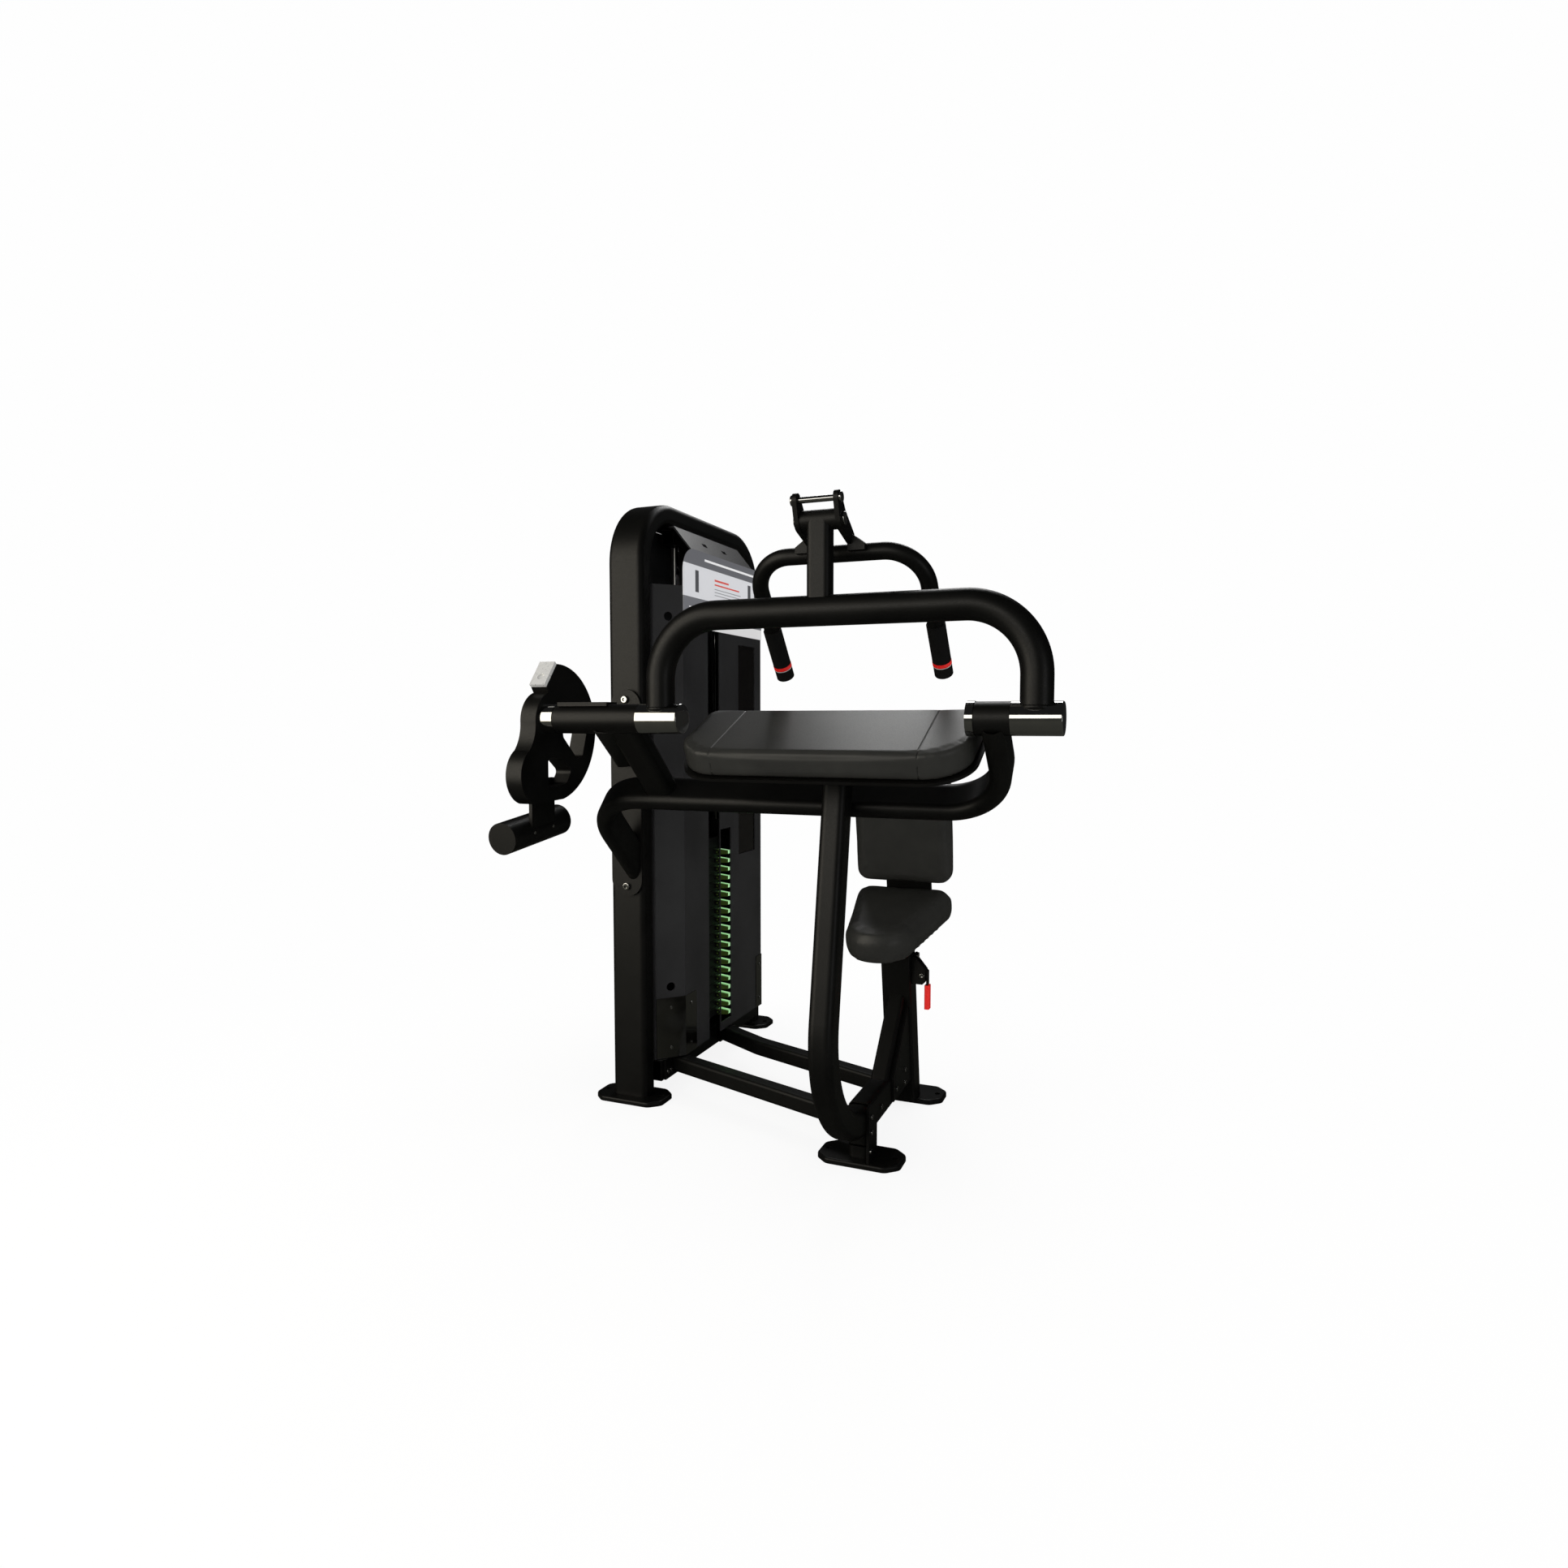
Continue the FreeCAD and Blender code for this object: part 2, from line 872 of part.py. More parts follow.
def pad_outline(grow, lift):
    """Corner points of the pad's plan, grown outwards, lifted along the pad's normal."""
    half = pad_half_length + grow
    front = -grow
    rear = pad_depth + grow
    shoulder = pad_rear_corner + grow
    base = pad_front + pad_up * lift

    def at(x, inward):
        return base + V(x, 0, 0) + pad_in * inward

    corner = pad_front_corner + grow
    cut = 1 - math.sqrt(0.5)
    edges = []
    for side in (-1, 1):
        edges.append(
            Part.Arc(
                at(side * (half - corner), front),
                at(side * (half - corner * cut), front + corner * cut),
                at(side * half, front + corner),
            ).toShape()
        )
        edges.append(
            Part.LineSegment(
                at(side * half, front + corner), at(side * half, rear - shoulder)
            ).toShape()
        )
        edges.append(
            Part.Arc(
                at(side * half, rear - shoulder),
                at(side * (half - shoulder * cut), rear - shoulder * cut),
                at(side * (half - shoulder), rear),
            ).toShape()
        )
    edges.append(Part.LineSegment(at(corner - half, front), at(half - corner, front)).toShape())
    edges.append(Part.LineSegment(at(shoulder - half, rear), at(half - shoulder, rear)).toShape())
    return Part.Face(Part.Wire(Part.__sortEdges__(edges)))


# Arm pad: three cushions side by side with drawn-in edges, on a thin steel tray.
pad_body = pad_outline(0, -pad_thickness).extrude(pad_up * pad_thickness)
pad_rims = [
    edge
    for edge in pad_body.Edges
    if abs((edge.BoundBox.Center - pad_front).dot(pad_up)) < soft_gap
    or abs((edge.BoundBox.Center - pad_front).dot(pad_up) + pad_thickness) < soft_gap
]
pad_body = pad_body.makeFillet(pad_edge_round, pad_rims)


def pad_slice(x0, x1):
    shape = pad_body.common(
        box(x0, x1, pad_front_y - pad_depth, 0, 0, tower_height)
    )
    return shape


nodes["arm_pad_centre"] = pad_slice(-pad_seam_x + soft_gap, pad_seam_x - soft_gap)
nodes["arm_pad_ends"] = group(
    [
        pad_slice(-2 * pad_half_length, -pad_seam_x),
        pad_slice(pad_seam_x, 2 * pad_half_length),
    ]
)
tray = pad_outline(tray_lip, -pad_thickness - soft_gap - tray_thickness)
tray = tray.extrude(pad_up * tray_thickness)
nodes["arm_pad_tray"] = tray.cut(right_housing_solid)

# Swinging arm: shafts, collars, sleeves and end caps on the pivot axis.
left_sleeve_x = left_housing_end + running_gap
left_sleeve_end = left_sleeve_x + left_sleeve_length
right_sleeve_x = right_housing_end + running_gap
right_sleeve_end = right_sleeve_x + right_sleeve_length
left_collar_end = left_housing_x - running_gap
cam_face_x = left_collar_end - left_collar_length
cam_back_x = cam_face_x - cam_thickness
right_collar_end = right_housing_x - running_gap
right_collar_x = right_collar_end - right_collar_length
nodes["pivot_shafts"] = group(
    [
        on_pivot(cam_back_x, left_sleeve_end, shaft_radius),
        on_pivot(right_collar_x, right_sleeve_end, shaft_radius),
    ]
)
nodes["pivot_collars"] = group(
    [
        pivot_ring(cam_face_x, left_collar_end, collar_radius, shaft_radius),
        pivot_ring(right_collar_x, right_collar_end, collar_radius, shaft_radius),
    ]
)
nodes["pivot_sleeves"] = group(
    [
        pivot_ring(left_sleeve_x, left_sleeve_end, housing_radius, shaft_radius),
        pivot_ring(right_sleeve_x, right_sleeve_end, housing_radius, shaft_radius),
    ]
)


def end_cap(x0, x1):
    cap = on_pivot(x0, x1, housing_radius)
    rim = [edge for edge in cap.Edges if edge.BoundBox.XMin > x1 - cap_round]
    return cap.makeFillet(cap_round, rim)


nodes["pivot_end_caps"] = group(
    [
        end_cap(left_sleeve_end, left_sleeve_end + left_cap_length),
        end_cap(right_sleeve_end, right_sleeve_end + right_cap_length),
    ]
)

# U-bar: one round tube over the pad, welded to the two sleeves.
left_leg_x = (left_sleeve_x + left_sleeve_end) / 2
right_leg_x = (right_sleeve_x + right_sleeve_end) / 2 + right_leg_shift
bar_z = pivot_z + ubar_rise
ubar_solid, ubar = round_tube(
    [
        V(left_leg_x, pivot_y, pivot_z),
        V(left_leg_x, pivot_y, bar_z),
        V(right_leg_x, pivot_y, bar_z),
        V(right_leg_x, pivot_y, pivot_z),
    ],
    [ubar_bend, ubar_bend],
    ubar_radius,
    ubar_wall,
)
sleeve_solids = [
    on_pivot(left_sleeve_x, left_sleeve_end, housing_radius),
    on_pivot(right_sleeve_x, right_sleeve_end, housing_radius),
]
for sleeve in sleeve_solids:
    ubar = ubar.cut(sleeve)
ubar_foot_zone = box(
    left_leg_x - ubar_radius - overrun,
    right_leg_x + ubar_radius + overrun,
    pivot_y - ubar_radius - overrun,
    pivot_y + ubar_radius + overrun,
    pivot_z - overrun,
    pivot_z + ubar_foot_rise,
)
ubar = ubar.cut(ubar_foot_zone)
nodes["u_bar"] = main_solid(ubar)

# Arm post: a rounded box tube up the middle of the U-bar, to the handle pivot tube.
arm_post_y = pivot_y + arm_post_back
handle_axis = V(0, arm_post_y, handle_axis_z)
cross_tube_solid = on_x(-cross_half, cross_half, arm_post_y, handle_axis_z, cross_radius)
arm_post_solid, arm_post = flat_tube(
    [V(0, arm_post_y, bar_z), V(0, arm_post_y, handle_axis_z)],
    [],
    along_x,
    arm_post_width,
    arm_post_depth,
    arm_post_corner,
    tube_wall,
)
nodes["arm_post"] = main_solid(arm_post.cut(ubar_solid).cut(cross_tube_solid))
nodes["handle_pivot_tube"] = cross_tube_solid.cut(
    on_x(-cross_half, cross_half, arm_post_y, handle_axis_z, cross_bore + bore_clearance)
)

# Yoke: two S-shaped plates on the handle pivot tube, with a cross rod, a pin and flared feet.
rod_centre = handle_axis + V(0, -yoke_rod_ahead, yoke_rod_above)
foot_centre = handle_axis + V(0, yoke_foot_back, -yoke_foot_below)
bar_centre = handle_axis + V(0, handle_bar_back, -handle_bar_below)
plate_x = cross_half + running_gap


def bridge(first, first_radius, last, last_radius, x0, x1):
    """A plate whose outline hugs two discs, between x0 and x1."""
    along = last - first
    gap = along.Length
    tilt = math.asin((first_radius - last_radius) / gap)
    heading = math.atan2(along.z, along.y)
    points = []
    for side in (1, -1):
        angle = heading + side * (math.pi / 2 - tilt)
        reach = V(0, math.cos(angle), math.sin(angle))
        pair = [first + reach * first_radius, last + reach * last_radius]
        points += pair if side > 0 else pair[::-1]
    points = [V(x0, point.y, point.z) for point in points]
    thick = V(x1 - x0, 0, 0)
    return [
        prism(points, thick),
        on_x(x0, x1, first.y, first.z, first_radius),
        on_x(x0, x1, last.y, last.z, last_radius),
    ]


def yoke_plate(side):
    x0 = min(side * plate_x, side * (plate_x + yoke_thickness))
    x1 = x0 + yoke_thickness
    pieces = bridge(rod_centre, yoke_head_radius, handle_axis, yoke_waist_radius, x0, x1)
    pieces += bridge(handle_axis, yoke_waist_radius, foot_centre, yoke_foot_radius, x0, x1)
    inner = side * plate_x
    outer = side * (plate_x + yoke_thickness)
    flare = outer + side * yoke_foot_flare
    front_y = foot_centre.y - yoke_foot_radius / 2
    top_z = foot_centre.z + yoke_foot_radius / 2
    arm = [
        V(inner, front_y, bar_centre.z),
        V(flare, front_y, bar_centre.z),
        V(flare, front_y, top_z - yoke_foot_slope),
        V(outer, front_y, top_z),
        V(inner, front_y, top_z),
    ]
    pieces.append(prism(arm, V(0, bar_centre.y + handle_radius / 2 - front_y, 0)))
    plate = joined(pieces)
    plate = plate.cut(on_x(x0 - overrun, x1 + overrun, arm_post_y, handle_axis_z, cross_bore))
    plate = plate.cut(
        on_x(x0 - overrun, x1 + overrun, rod_centre.y, rod_centre.z, yoke_rod_radius)
    )
    return plate


# Handle frame: one round tube bent like a stirrup, leaning back and down to its two grips.
handle_down = V(
    0, math.sin(math.radians(handle_lean)), -math.cos(math.radians(handle_lean))
)
handle_points = [
    bar_centre + handle_down * handle_side + V(-handle_tip_half, 0, 0),
    bar_centre + V(-handle_top_half, 0, 0),
    bar_centre + V(handle_top_half, 0, 0),
    bar_centre + handle_down * handle_side + V(handle_tip_half, 0, 0),
]
handle_solid, handle_frame = round_tube(
    handle_points, [handle_bend, handle_bend], handle_radius, handle_wall
)
nodes["handle_frame"] = handle_frame
nodes["yoke_plates"] = group(
    [main_solid(yoke_plate(side).cut(handle_solid)) for side in (-1, 1)]
)
plate_outer = plate_x + yoke_thickness
yoke_rods = []
for centre, radius in ((rod_centre, yoke_rod_radius), (handle_axis, cross_bore)):
    pieces = [on_x(-plate_outer, plate_outer, centre.y, centre.z, radius)]
    for side in (-1, 1):
        seat = V(side * plate_outer, centre.y, centre.z)
        pieces.append(cap_head(seat, V(side, 0, 0), radius + yoke_head_lap, yoke_bolt_head))
    yoke_rods.append(joined(pieces))
nodes["yoke_rods"] = group(yoke_rods)

# Grips: rubber sleeves over the ends of the handle frame, each with a coloured ring let in.
grips = []
rings = []
for tip, corner in ((handle_points[0], handle_points[1]), (handle_points[3], handle_points[2])):
    up = (corner - tip).normalize()
    grip = rod(tip - up * grip_tip, tip + up * (grip_length - grip_tip), grip_radius)
    grip = grip.cut(rod(tip, tip + up * grip_length, handle_radius))
    groove_start = tip + up * (ring_from_tip - ring_width / 2)
    groove_end = groove_start + up * ring_width
    grip = grip.cut(ring(groove_start, groove_end, grip_radius + overrun, grip_radius - ring_depth))
    rim = [edge for edge in grip.Edges if (edge.BoundBox.Center - tip).dot(up) < -grip_tip / 2]
    grip = grip.makeFillet(grip_tip / 2, rim)
    grips.append(grip)
    rings.append(
        ring(groove_start, groove_end, grip_radius + ring_proud, grip_radius - ring_depth)
    )
nodes["handle_grips"] = group(grips)
nodes["grip_rings"] = group(rings)

# Cam: a thick open plate clamped on the left shaft, drawn in shares of its own radius.
cam_arc_shares = [
    [(0.269, 0.832), (0.985, 0.560), (1.311, -0.110)],
    [(1.311, -0.110), (1.075, -0.800), (0.400, -1.225)],
    [(-0.330, -1.252), (-0.640, -0.850), (-0.431, -0.461)],
    [(-0.431, -0.461), (-0.309, -0.256), (-0.278, -0.029)],
    [(-0.278, -0.029), (-0.203, 0.209), (0.052, 0.395)],
]
cam_flat_share = (-0.003, 0.477)
cam_window_shares = [
    [(0.36, 0.10), (0.98, 0.14), (1.04, -0.24), (0.92, -0.60), (0.78, -0.62), (0.42, -0.28)],
    [(0.02, -0.58), (0.36, -0.60), (0.62, -0.80), (0.48, -1.00), (0.02, -1.02)],
]
window_round_share = 0.07


def cam_at(pair, x=cam_face_x):
    return V(x, pivot_y + pair[0] * cam_size, pivot_z + pair[1] * cam_size)


cam_arcs = [[cam_at(pair) for pair in shares] for shares in cam_arc_shares]
flat_low = cam_at(cam_flat_share)
flat_high = cam_arcs[0][0]
cam_edges = [Part.Arc(first, middle, last) for first, middle, last in cam_arcs]
cam_edges.append(Part.LineSegment(cam_arcs[1][2], cam_arcs[2][0]))
cam_edges.append(Part.LineSegment(cam_arcs[4][2], flat_low))
cam_edges.append(Part.LineSegment(flat_low, flat_high))
cam_wire = Part.Wire(Part.__sortEdges__([edge.toShape() for edge in cam_edges]))
cam = Part.Face(cam_wire).extrude(V(-cam_thickness, 0, 0))
for shares in cam_window_shares:
    window = prism([cam_at(pair) for pair in shares], V(-cam_thickness, 0, 0))
    window = window.makeFillet(window_round_share * cam_size, edges_along(window, along_x))
    cam = cam.cut(window)
cam = cam.cut(on_pivot(cam_back_x - overrun, cam_face_x + overrun, shaft_radius))
nodes["cam"] = cam

# Cam clamp: a bright plate screwed on the flat of the cam's rim.
flat_run = flat_high - flat_low
flat_out = V(0, -flat_run.z, flat_run.y).normalize()
clamp = prism(
    [flat_low, flat_high, flat_high + flat_out * clamp_thickness, flat_low + flat_out * clamp_thickness],
    V(-cam_thickness, 0, 0),
)
clamp_screw = flat_low + flat_run * clamp_screw_share + V(-cam_thickness / 2, 0, 0)
clamp = clamp.cut(
    rod(
        clamp_screw + flat_out * (clamp_thickness / 2),
        clamp_screw + flat_out * (2 * clamp_thickness),
        clamp_screw_radius,
    )
)
nodes["cam_clamp"] = clamp

# Counterweight: a round bar along Y under the cam, on a flat neck.
weight_z = pivot_z - weight_drop
neck_mid_y = pivot_y + (neck_start + neck_end) / 2
weight_middle = V(cam_back_x - weight_aside, neck_mid_y - weight_ahead, weight_z)
weight_way = V(0, math.cos(math.radians(weight_tilt)), math.sin(math.radians(weight_tilt)))
weight = rod(
    weight_middle - weight_way * (weight_length / 2),
    weight_middle + weight_way * (weight_length / 2),
    weight_radius,
)
neck = box(
    cam_back_x - neck_thickness,
    cam_back_x,
    pivot_y + neck_start,
    pivot_y + neck_end,
    weight_z,
    cam_arcs[1][2].z + neck_lap,
)
nodes["counterweight_neck"] = main_solid(neck.cut(weight))
screws = []
for side in (-1, 1):
    place = weight_middle + weight_way * (weight_screw_back + side * weight_screw_spacing / 2)
    place += along_x * (weight_radius - weight_screw_head)
    weight = weight.cut(
        rod(place, place + along_x * weight_radius, weight_screw_radius + bore_clearance)
    )
    screws.append(cap_head(place, along_x, weight_screw_radius, weight_screw_head))
nodes["counterweight"] = weight
nodes["counterweight_screws"] = group(screws)

# Seat post: a leaning tube on its own foot, braced to the floor beam.
seat_post_hole = seat_column(
    seat_post_width - 2 * seat_post_wall,
    seat_post_depth - 2 * seat_post_wall,
    seat_post_corner - seat_post_wall,
    -2 * overrun,
    seat_post_top + overrun,
)
nodes["seat_post"] = seat_column_solid.cut(seat_post_hole)
brace_start = seat_place(brace_top_z - brace_depth)
brace_end = V(0, brace_bottom_y, beam_z + beam_height / 2)
brace_heading = (brace_end - brace_start).normalize()
brace_side = along_x.cross(brace_heading)
brace_face = rounded_face(
    brace_start, along_x, brace_side, brace_width, brace_depth, rail_corner
)
brace_hole = rounded_face(
    brace_start,
    along_x,
    brace_side,
    brace_width - 2 * tube_wall,
    brace_depth - 2 * tube_wall,
    rail_corner - tube_wall,
)
brace_run = brace_end - brace_start
brace = brace_face.extrude(brace_run).cut(brace_hole.extrude(brace_run))
brace = main_solid(brace.cut(seat_column_solid).cut(beam_solid))
brace_rise = brace_run.z / brace_run.y
gusset_outline = [
    V(0, gusset_front_y, gusset_bottom),
    seat_place(gusset_bottom),
    seat_place(gusset_top),
    V(0, brace_end.y + (gusset_top - brace_end.z) / brace_rise, gusset_top),
    V(0, gusset_front_y, brace_end.z + (gusset_front_y - brace_end.y) * brace_rise),
]
gusset_x = (beam_width - brace_width) / 2 + gusset_thickness
gusset = moved(prism(gusset_outline, V(gusset_x, 0, 0)), V(brace_width / 2, 0, 0))
gusset = main_solid(gusset.cut(seat_column_solid).cut(beam_solid))
nodes["seat_brace"] = joined([brace, gusset])

# Seat slide: the inner tube with the cushion plate on top and the arm of the back cushion.
seat_sin = math.sin(math.radians(seat_slope))
seat_cos = math.cos(math.radians(seat_slope))
cushion_in = V(0, -seat_cos, -seat_sin)
cushion_up = V(0, -seat_sin, seat_cos)
cushion_rear = V(0, seat_rear_y, seat_rear_z)
plate_rear = cushion_rear - cushion_up * (seat_thickness + soft_gap) + cushion_in * seat_plate_rear
slide_width = seat_post_width - 2 * (seat_post_wall + slide_clearance)
slide_depth = seat_post_depth - 2 * (seat_post_wall + slide_clearance)
slide_corner = seat_post_corner - seat_post_wall
slide = seat_column(slide_width, slide_depth, slide_corner, slide_bottom, seat_rear_z)
slide = slide.cut(
    seat_column(
        slide_width - 2 * slide_wall,
        slide_depth - 2 * slide_wall,
        slide_corner / 2,
        slide_bottom - overrun,
        seat_rear_z + overrun,
    )
)
over_slide = prism(
    [
        plate_rear - cushion_in * seat_length - cushion_up * seat_plate_thickness,
        plate_rear + cushion_in * seat_length - cushion_up * seat_plate_thickness,
        plate_rear + cushion_in * seat_length + cushion_up * seat_length,
        plate_rear - cushion_in * seat_length + cushion_up * seat_length,
    ],
    V(2 * seat_post_width, 0, 0),
)
over_slide.translate(V(-seat_post_width, 0, 0))
seat_plate_length = seat_plate_front
seat_plate = prism(
    [
        plate_rear,
        plate_rear + cushion_in * seat_plate_length,
        plate_rear + cushion_in * seat_plate_length - cushion_up * seat_plate_thickness,
        plate_rear - cushion_up * seat_plate_thickness,
    ],
    V(seat_plate_width, 0, 0),
)
seat_plate.translate(V(-seat_plate_width / 2, 0, 0))
nodes["seat_slide"] = joined([slide.cut(over_slide), seat_plate])

# Back cushion carrier: a bent flat from the slide tube up behind the back cushion.


def turned_way(way, angle):
    turn = FreeCAD.Rotation(along_x, angle)
    return turn.multVec(way)


slide_rear = seat_place(back_arm_z, slide_depth / 2)
back_foot = V(0, back_front_y, back_bottom)
back_up = turned_way(along_z, back_lean)
back_out = turned_way(along_y, back_lean)
back_rear = back_foot + back_out * (back_thickness + soft_gap)
back_plate_foot = back_rear - back_up * ((back_rear.z - back_arm_z) / back_up.z)
back_plate_top = back_rear + back_up * back_plate_rise
back_plate = prism(
    [
        back_plate_foot,
        back_plate_foot + back_out * back_plate_thickness,
        back_plate_top + back_out * back_plate_thickness,
        back_plate_top,
    ],
    V(back_plate_width, 0, 0),
)
back_plate.translate(V(-back_plate_width / 2, 0, 0))
back_arm = joined(
    [
        box(
            -slide_width / 2,
            slide_width / 2,
            slide_rear.y - slide_depth / 2,
            back_plate_foot.y + back_plate_thickness,
            back_arm_z,
            back_arm_z + back_plate_thickness,
        ),
        back_plate,
    ]
)
slide_block = seat_column(slide_width, slide_depth, slide_corner, slide_bottom, seat_rear_z)
nodes["back_carrier"] = back_arm.cut(slide_block)

# Seat cushion: a saddle shape, narrower in front, crowned, with rounded edges.


def seat_outline(rear_half, front_half, shorten, lift):
    base = cushion_rear + cushion_up * lift

    def at(x, inward):
        return base + V(x, 0, 0) + cushion_in * inward

    rear = shorten
    front = seat_length - shorten
    corner = seat_rear_corner
    nose = front - front_half
    edges = []
    cut = 1 - math.sqrt(0.5)
    for side in (-1, 1):
        edges.append(
            Part.Arc(
                at(side * (rear_half - corner), rear),
                at(side * (rear_half - corner * cut), rear + corner * cut),
                at(side * rear_half, rear + corner),
            ).toShape()
        )
        edges.append(
            Part.LineSegment(at(side * rear_half, rear + corner), at(side * front_half, nose)).toShape()
        )
        edges.append(
            Part.Arc(
                at(side * front_half, nose),
                at(side * front_half * math.sqrt(0.5), nose + front_half * math.sqrt(0.5)),
                at(0, front),
            ).toShape()
        )
    edges.append(
        Part.LineSegment(at(corner - rear_half, rear), at(rear_half - corner, rear)).toShape()
    )
    return Part.Wire(Part.__sortEdges__(edges))


seat_layers = [
    seat_outline(seat_rear_half - seat_crown, seat_front_half - seat_crown, seat_crown, -seat_thickness),
    seat_outline(seat_rear_half, seat_front_half, 0, -seat_thickness * (1 - seat_roll_share)),
    seat_outline(seat_rear_half, seat_front_half, 0, -seat_thickness * seat_roll_share),
    seat_outline(
        seat_rear_half - 2 * seat_crown, seat_front_half - 2 * seat_crown, 2 * seat_crown, 0
    ),
]
nodes["seat_cushion"] = Part.makeLoft(seat_layers, True, True)

# Back cushion: a rounded slab with drawn-in edges, leaning a little over the seat.
back_layers = []
back_steps = [
    (0, back_crown),
    (back_roll_share, 0),
    (1 - back_roll_share, 0),
    (1, back_crown),
]
for depth_share, inset in back_steps:
    face = rounded_face(
        back_foot + back_out * (depth_share * back_thickness) + back_up * (back_height / 2),
        along_x,
        back_up,
        2 * (back_half - inset),
        back_height - 2 * inset,
        back_corner,
    )
    back_layers.append(face.OuterWire)
nodes["back_cushion"] = Part.makeLoft(back_layers, True, True)

# Seat lever: a bent flat with a coloured grip, hinged between two cheeks on the seat post.
post_side_x = seat_post_width / 2
lever_mid_y = seat_place(lever_pin_z).y - lever_ahead
lever_y0 = lever_mid_y - lever_width / 2
lever_y1 = lever_mid_y + lever_width / 2
pin_x = post_side_x + lever_pin_out
cheek_outline = [
    (0, cheek_bottom),
    (0, cheek_top),
    (cheek_shoulder_out, cheek_top),
    (cheek_out, cheek_knee),
    (cheek_out, cheek_bottom + cheek_corner),
    (cheek_out - cheek_corner, cheek_bottom),
]
mounts = []
for y in (lever_y0 - running_gap - cheek_thickness, lever_y1 + running_gap):
    cheek = prism(
        [V(post_side_x + out, y, z) for out, z in cheek_outline], V(0, cheek_thickness, 0)
    )
    mounts.append(cheek)
pin_low = V(pin_x, lever_y0 - running_gap - cheek_thickness, lever_pin_z)
pin_high = V(pin_x, lever_y1 + running_gap + cheek_thickness, lever_pin_z)
lever_pin = rod(pin_low, pin_high, lever_pin_radius)
mounts = [cheek.cut(lever_pin) for cheek in mounts]
mounts.append(lever_pin)
plunger_guide = on_x(
    post_side_x,
    post_side_x + plunger_guide_length,
    lever_mid_y,
    plunger_z,
    plunger_guide_radius,
)
plunger_bore = plunger_radius + bore_clearance
mounts.append(
    plunger_guide.cut(on_x(0, post_side_x + overrun, lever_mid_y, plunger_z, plunger_bore))
)
nodes["lever_mount"] = group(mounts)
strip_x0 = post_side_x + lever_top_out - lever_strip
strip_x1 = post_side_x + lever_top_out
arm_x1 = post_side_x + lever_out
arm_x0 = arm_x1 - lever_strip
slant = V(arm_x1 - strip_x1, 0, lever_knee - lever_shoulder).normalize()
slant_drop = lever_strip * (1 - slant.x) / -slant.z
lever = joined(
    [
        prism(
            [
                V(strip_x0, lever_y0, lever_top),
                V(strip_x1, lever_y0, lever_top),
                V(strip_x1, lever_y0, lever_shoulder),
                V(arm_x1, lever_y0, lever_knee),
                V(arm_x1, lever_y0, lever_grip_z),
                V(arm_x0, lever_y0, lever_grip_z),
                V(arm_x0, lever_y0, lever_knee - slant_drop),
                V(strip_x0, lever_y0, lever_shoulder - slant_drop),
            ],
            V(0, lever_width, 0),
        ),
        box(
            pin_x,
            arm_x0 + lever_strip / 2,
            lever_y0,
            lever_y1,
            lever_pin_z - lever_web / 2,
            lever_pin_z + lever_web / 2,
        ),
        rod(V(pin_x, lever_y0, lever_pin_z), V(pin_x, lever_y1, lever_pin_z), lever_hub_radius),
    ]
)
lever = lever.cut(rod(pin_low, pin_high, lever_pin_radius + bore_clearance))
lever = lever.cut(
    box(
        strip_x0 - overrun,
        strip_x1 + overrun,
        lever_mid_y - plunger_slot_width / 2,
        lever_mid_y + plunger_slot_width / 2,
        plunger_slot_bottom,
        plunger_slot_top,
    )
)
nodes["seat_lever"] = lever
grip_x = (arm_x0 + arm_x1) / 2
lever_grip = rounded_face(
    V(grip_x, lever_mid_y, lever_grip_z - lever_grip_length),
    along_x,
    along_y,
    lever_grip_thickness,
    lever_grip_width,
    lever_grip_thickness / 3,
)
nodes["lever_grip"] = lever_grip.extrude(V(0, 0, lever_grip_length))

# Plunger: the pin that the lever draws out of the seat post, with a head outside the lever.
plunger_x = post_side_x - seat_post_wall + slide_clearance
head_x = strip_x1 + 2 * running_gap
nodes["lever_plunger"] = joined(
    [
        on_x(plunger_x, head_x + plunger_head, lever_mid_y, plunger_z, plunger_radius),
        on_x(head_x, head_x + plunger_head, lever_mid_y, plunger_z, plunger_head_radius),
    ]
)
nodes["seat_post"] = nodes["seat_post"].cut(
    on_x(0, post_side_x + overrun, lever_mid_y, plunger_z, plunger_bore)
)

# Shroud: bent sheets in front of the tower, mirrored about the middle of the hoop.
shroud_top = tower_height - shroud_below_tower
tower_mid_y = (tower_near_y + tower_far_y) / 2
side_start = V(hoop_front_x, leg_inner_y + shroud_side_set, 0)
side_end = V(shroud_front_x, leg_inner_y + shroud_side_set + shroud_side_run, 0)
side_way = (side_end - side_start).normalize()
side_out = V(side_way.y, -side_way.x, 0)
front_y0 = side_end.y
front_y1 = 2 * tower_mid_y - front_y0


def mirrored(shape):
    return shape.mirror(V(0, tower_mid_y, 0), along_y)


mitre_reach = sheet * math.tan(math.acos(side_way.dot(along_y)) / 2)
front_inner = V(shroud_front_x - sheet, front_y0 + mitre_reach, 0)
side_inner = side_start - side_out * sheet
flange_length = hoop_width / 3
side_profile = [
    V(hoop_front_x - flange_length, leg_inner_y, shroud_bottom),
    V(hoop_front_x, leg_inner_y, shroud_bottom),
    V(side_start.x, side_start.y, shroud_bottom),
    V(side_end.x, side_end.y, shroud_bottom),
    V(front_inner.x, front_inner.y, shroud_bottom),
    V(side_inner.x, side_inner.y + sheet, shroud_bottom),
    V(hoop_front_x - flange_length, leg_inner_y + 2 * sheet, shroud_bottom),
]
side_panel = prism(side_profile, V(0, 0, shroud_top - shroud_bottom))
side_middle = (side_start + side_end) / 2
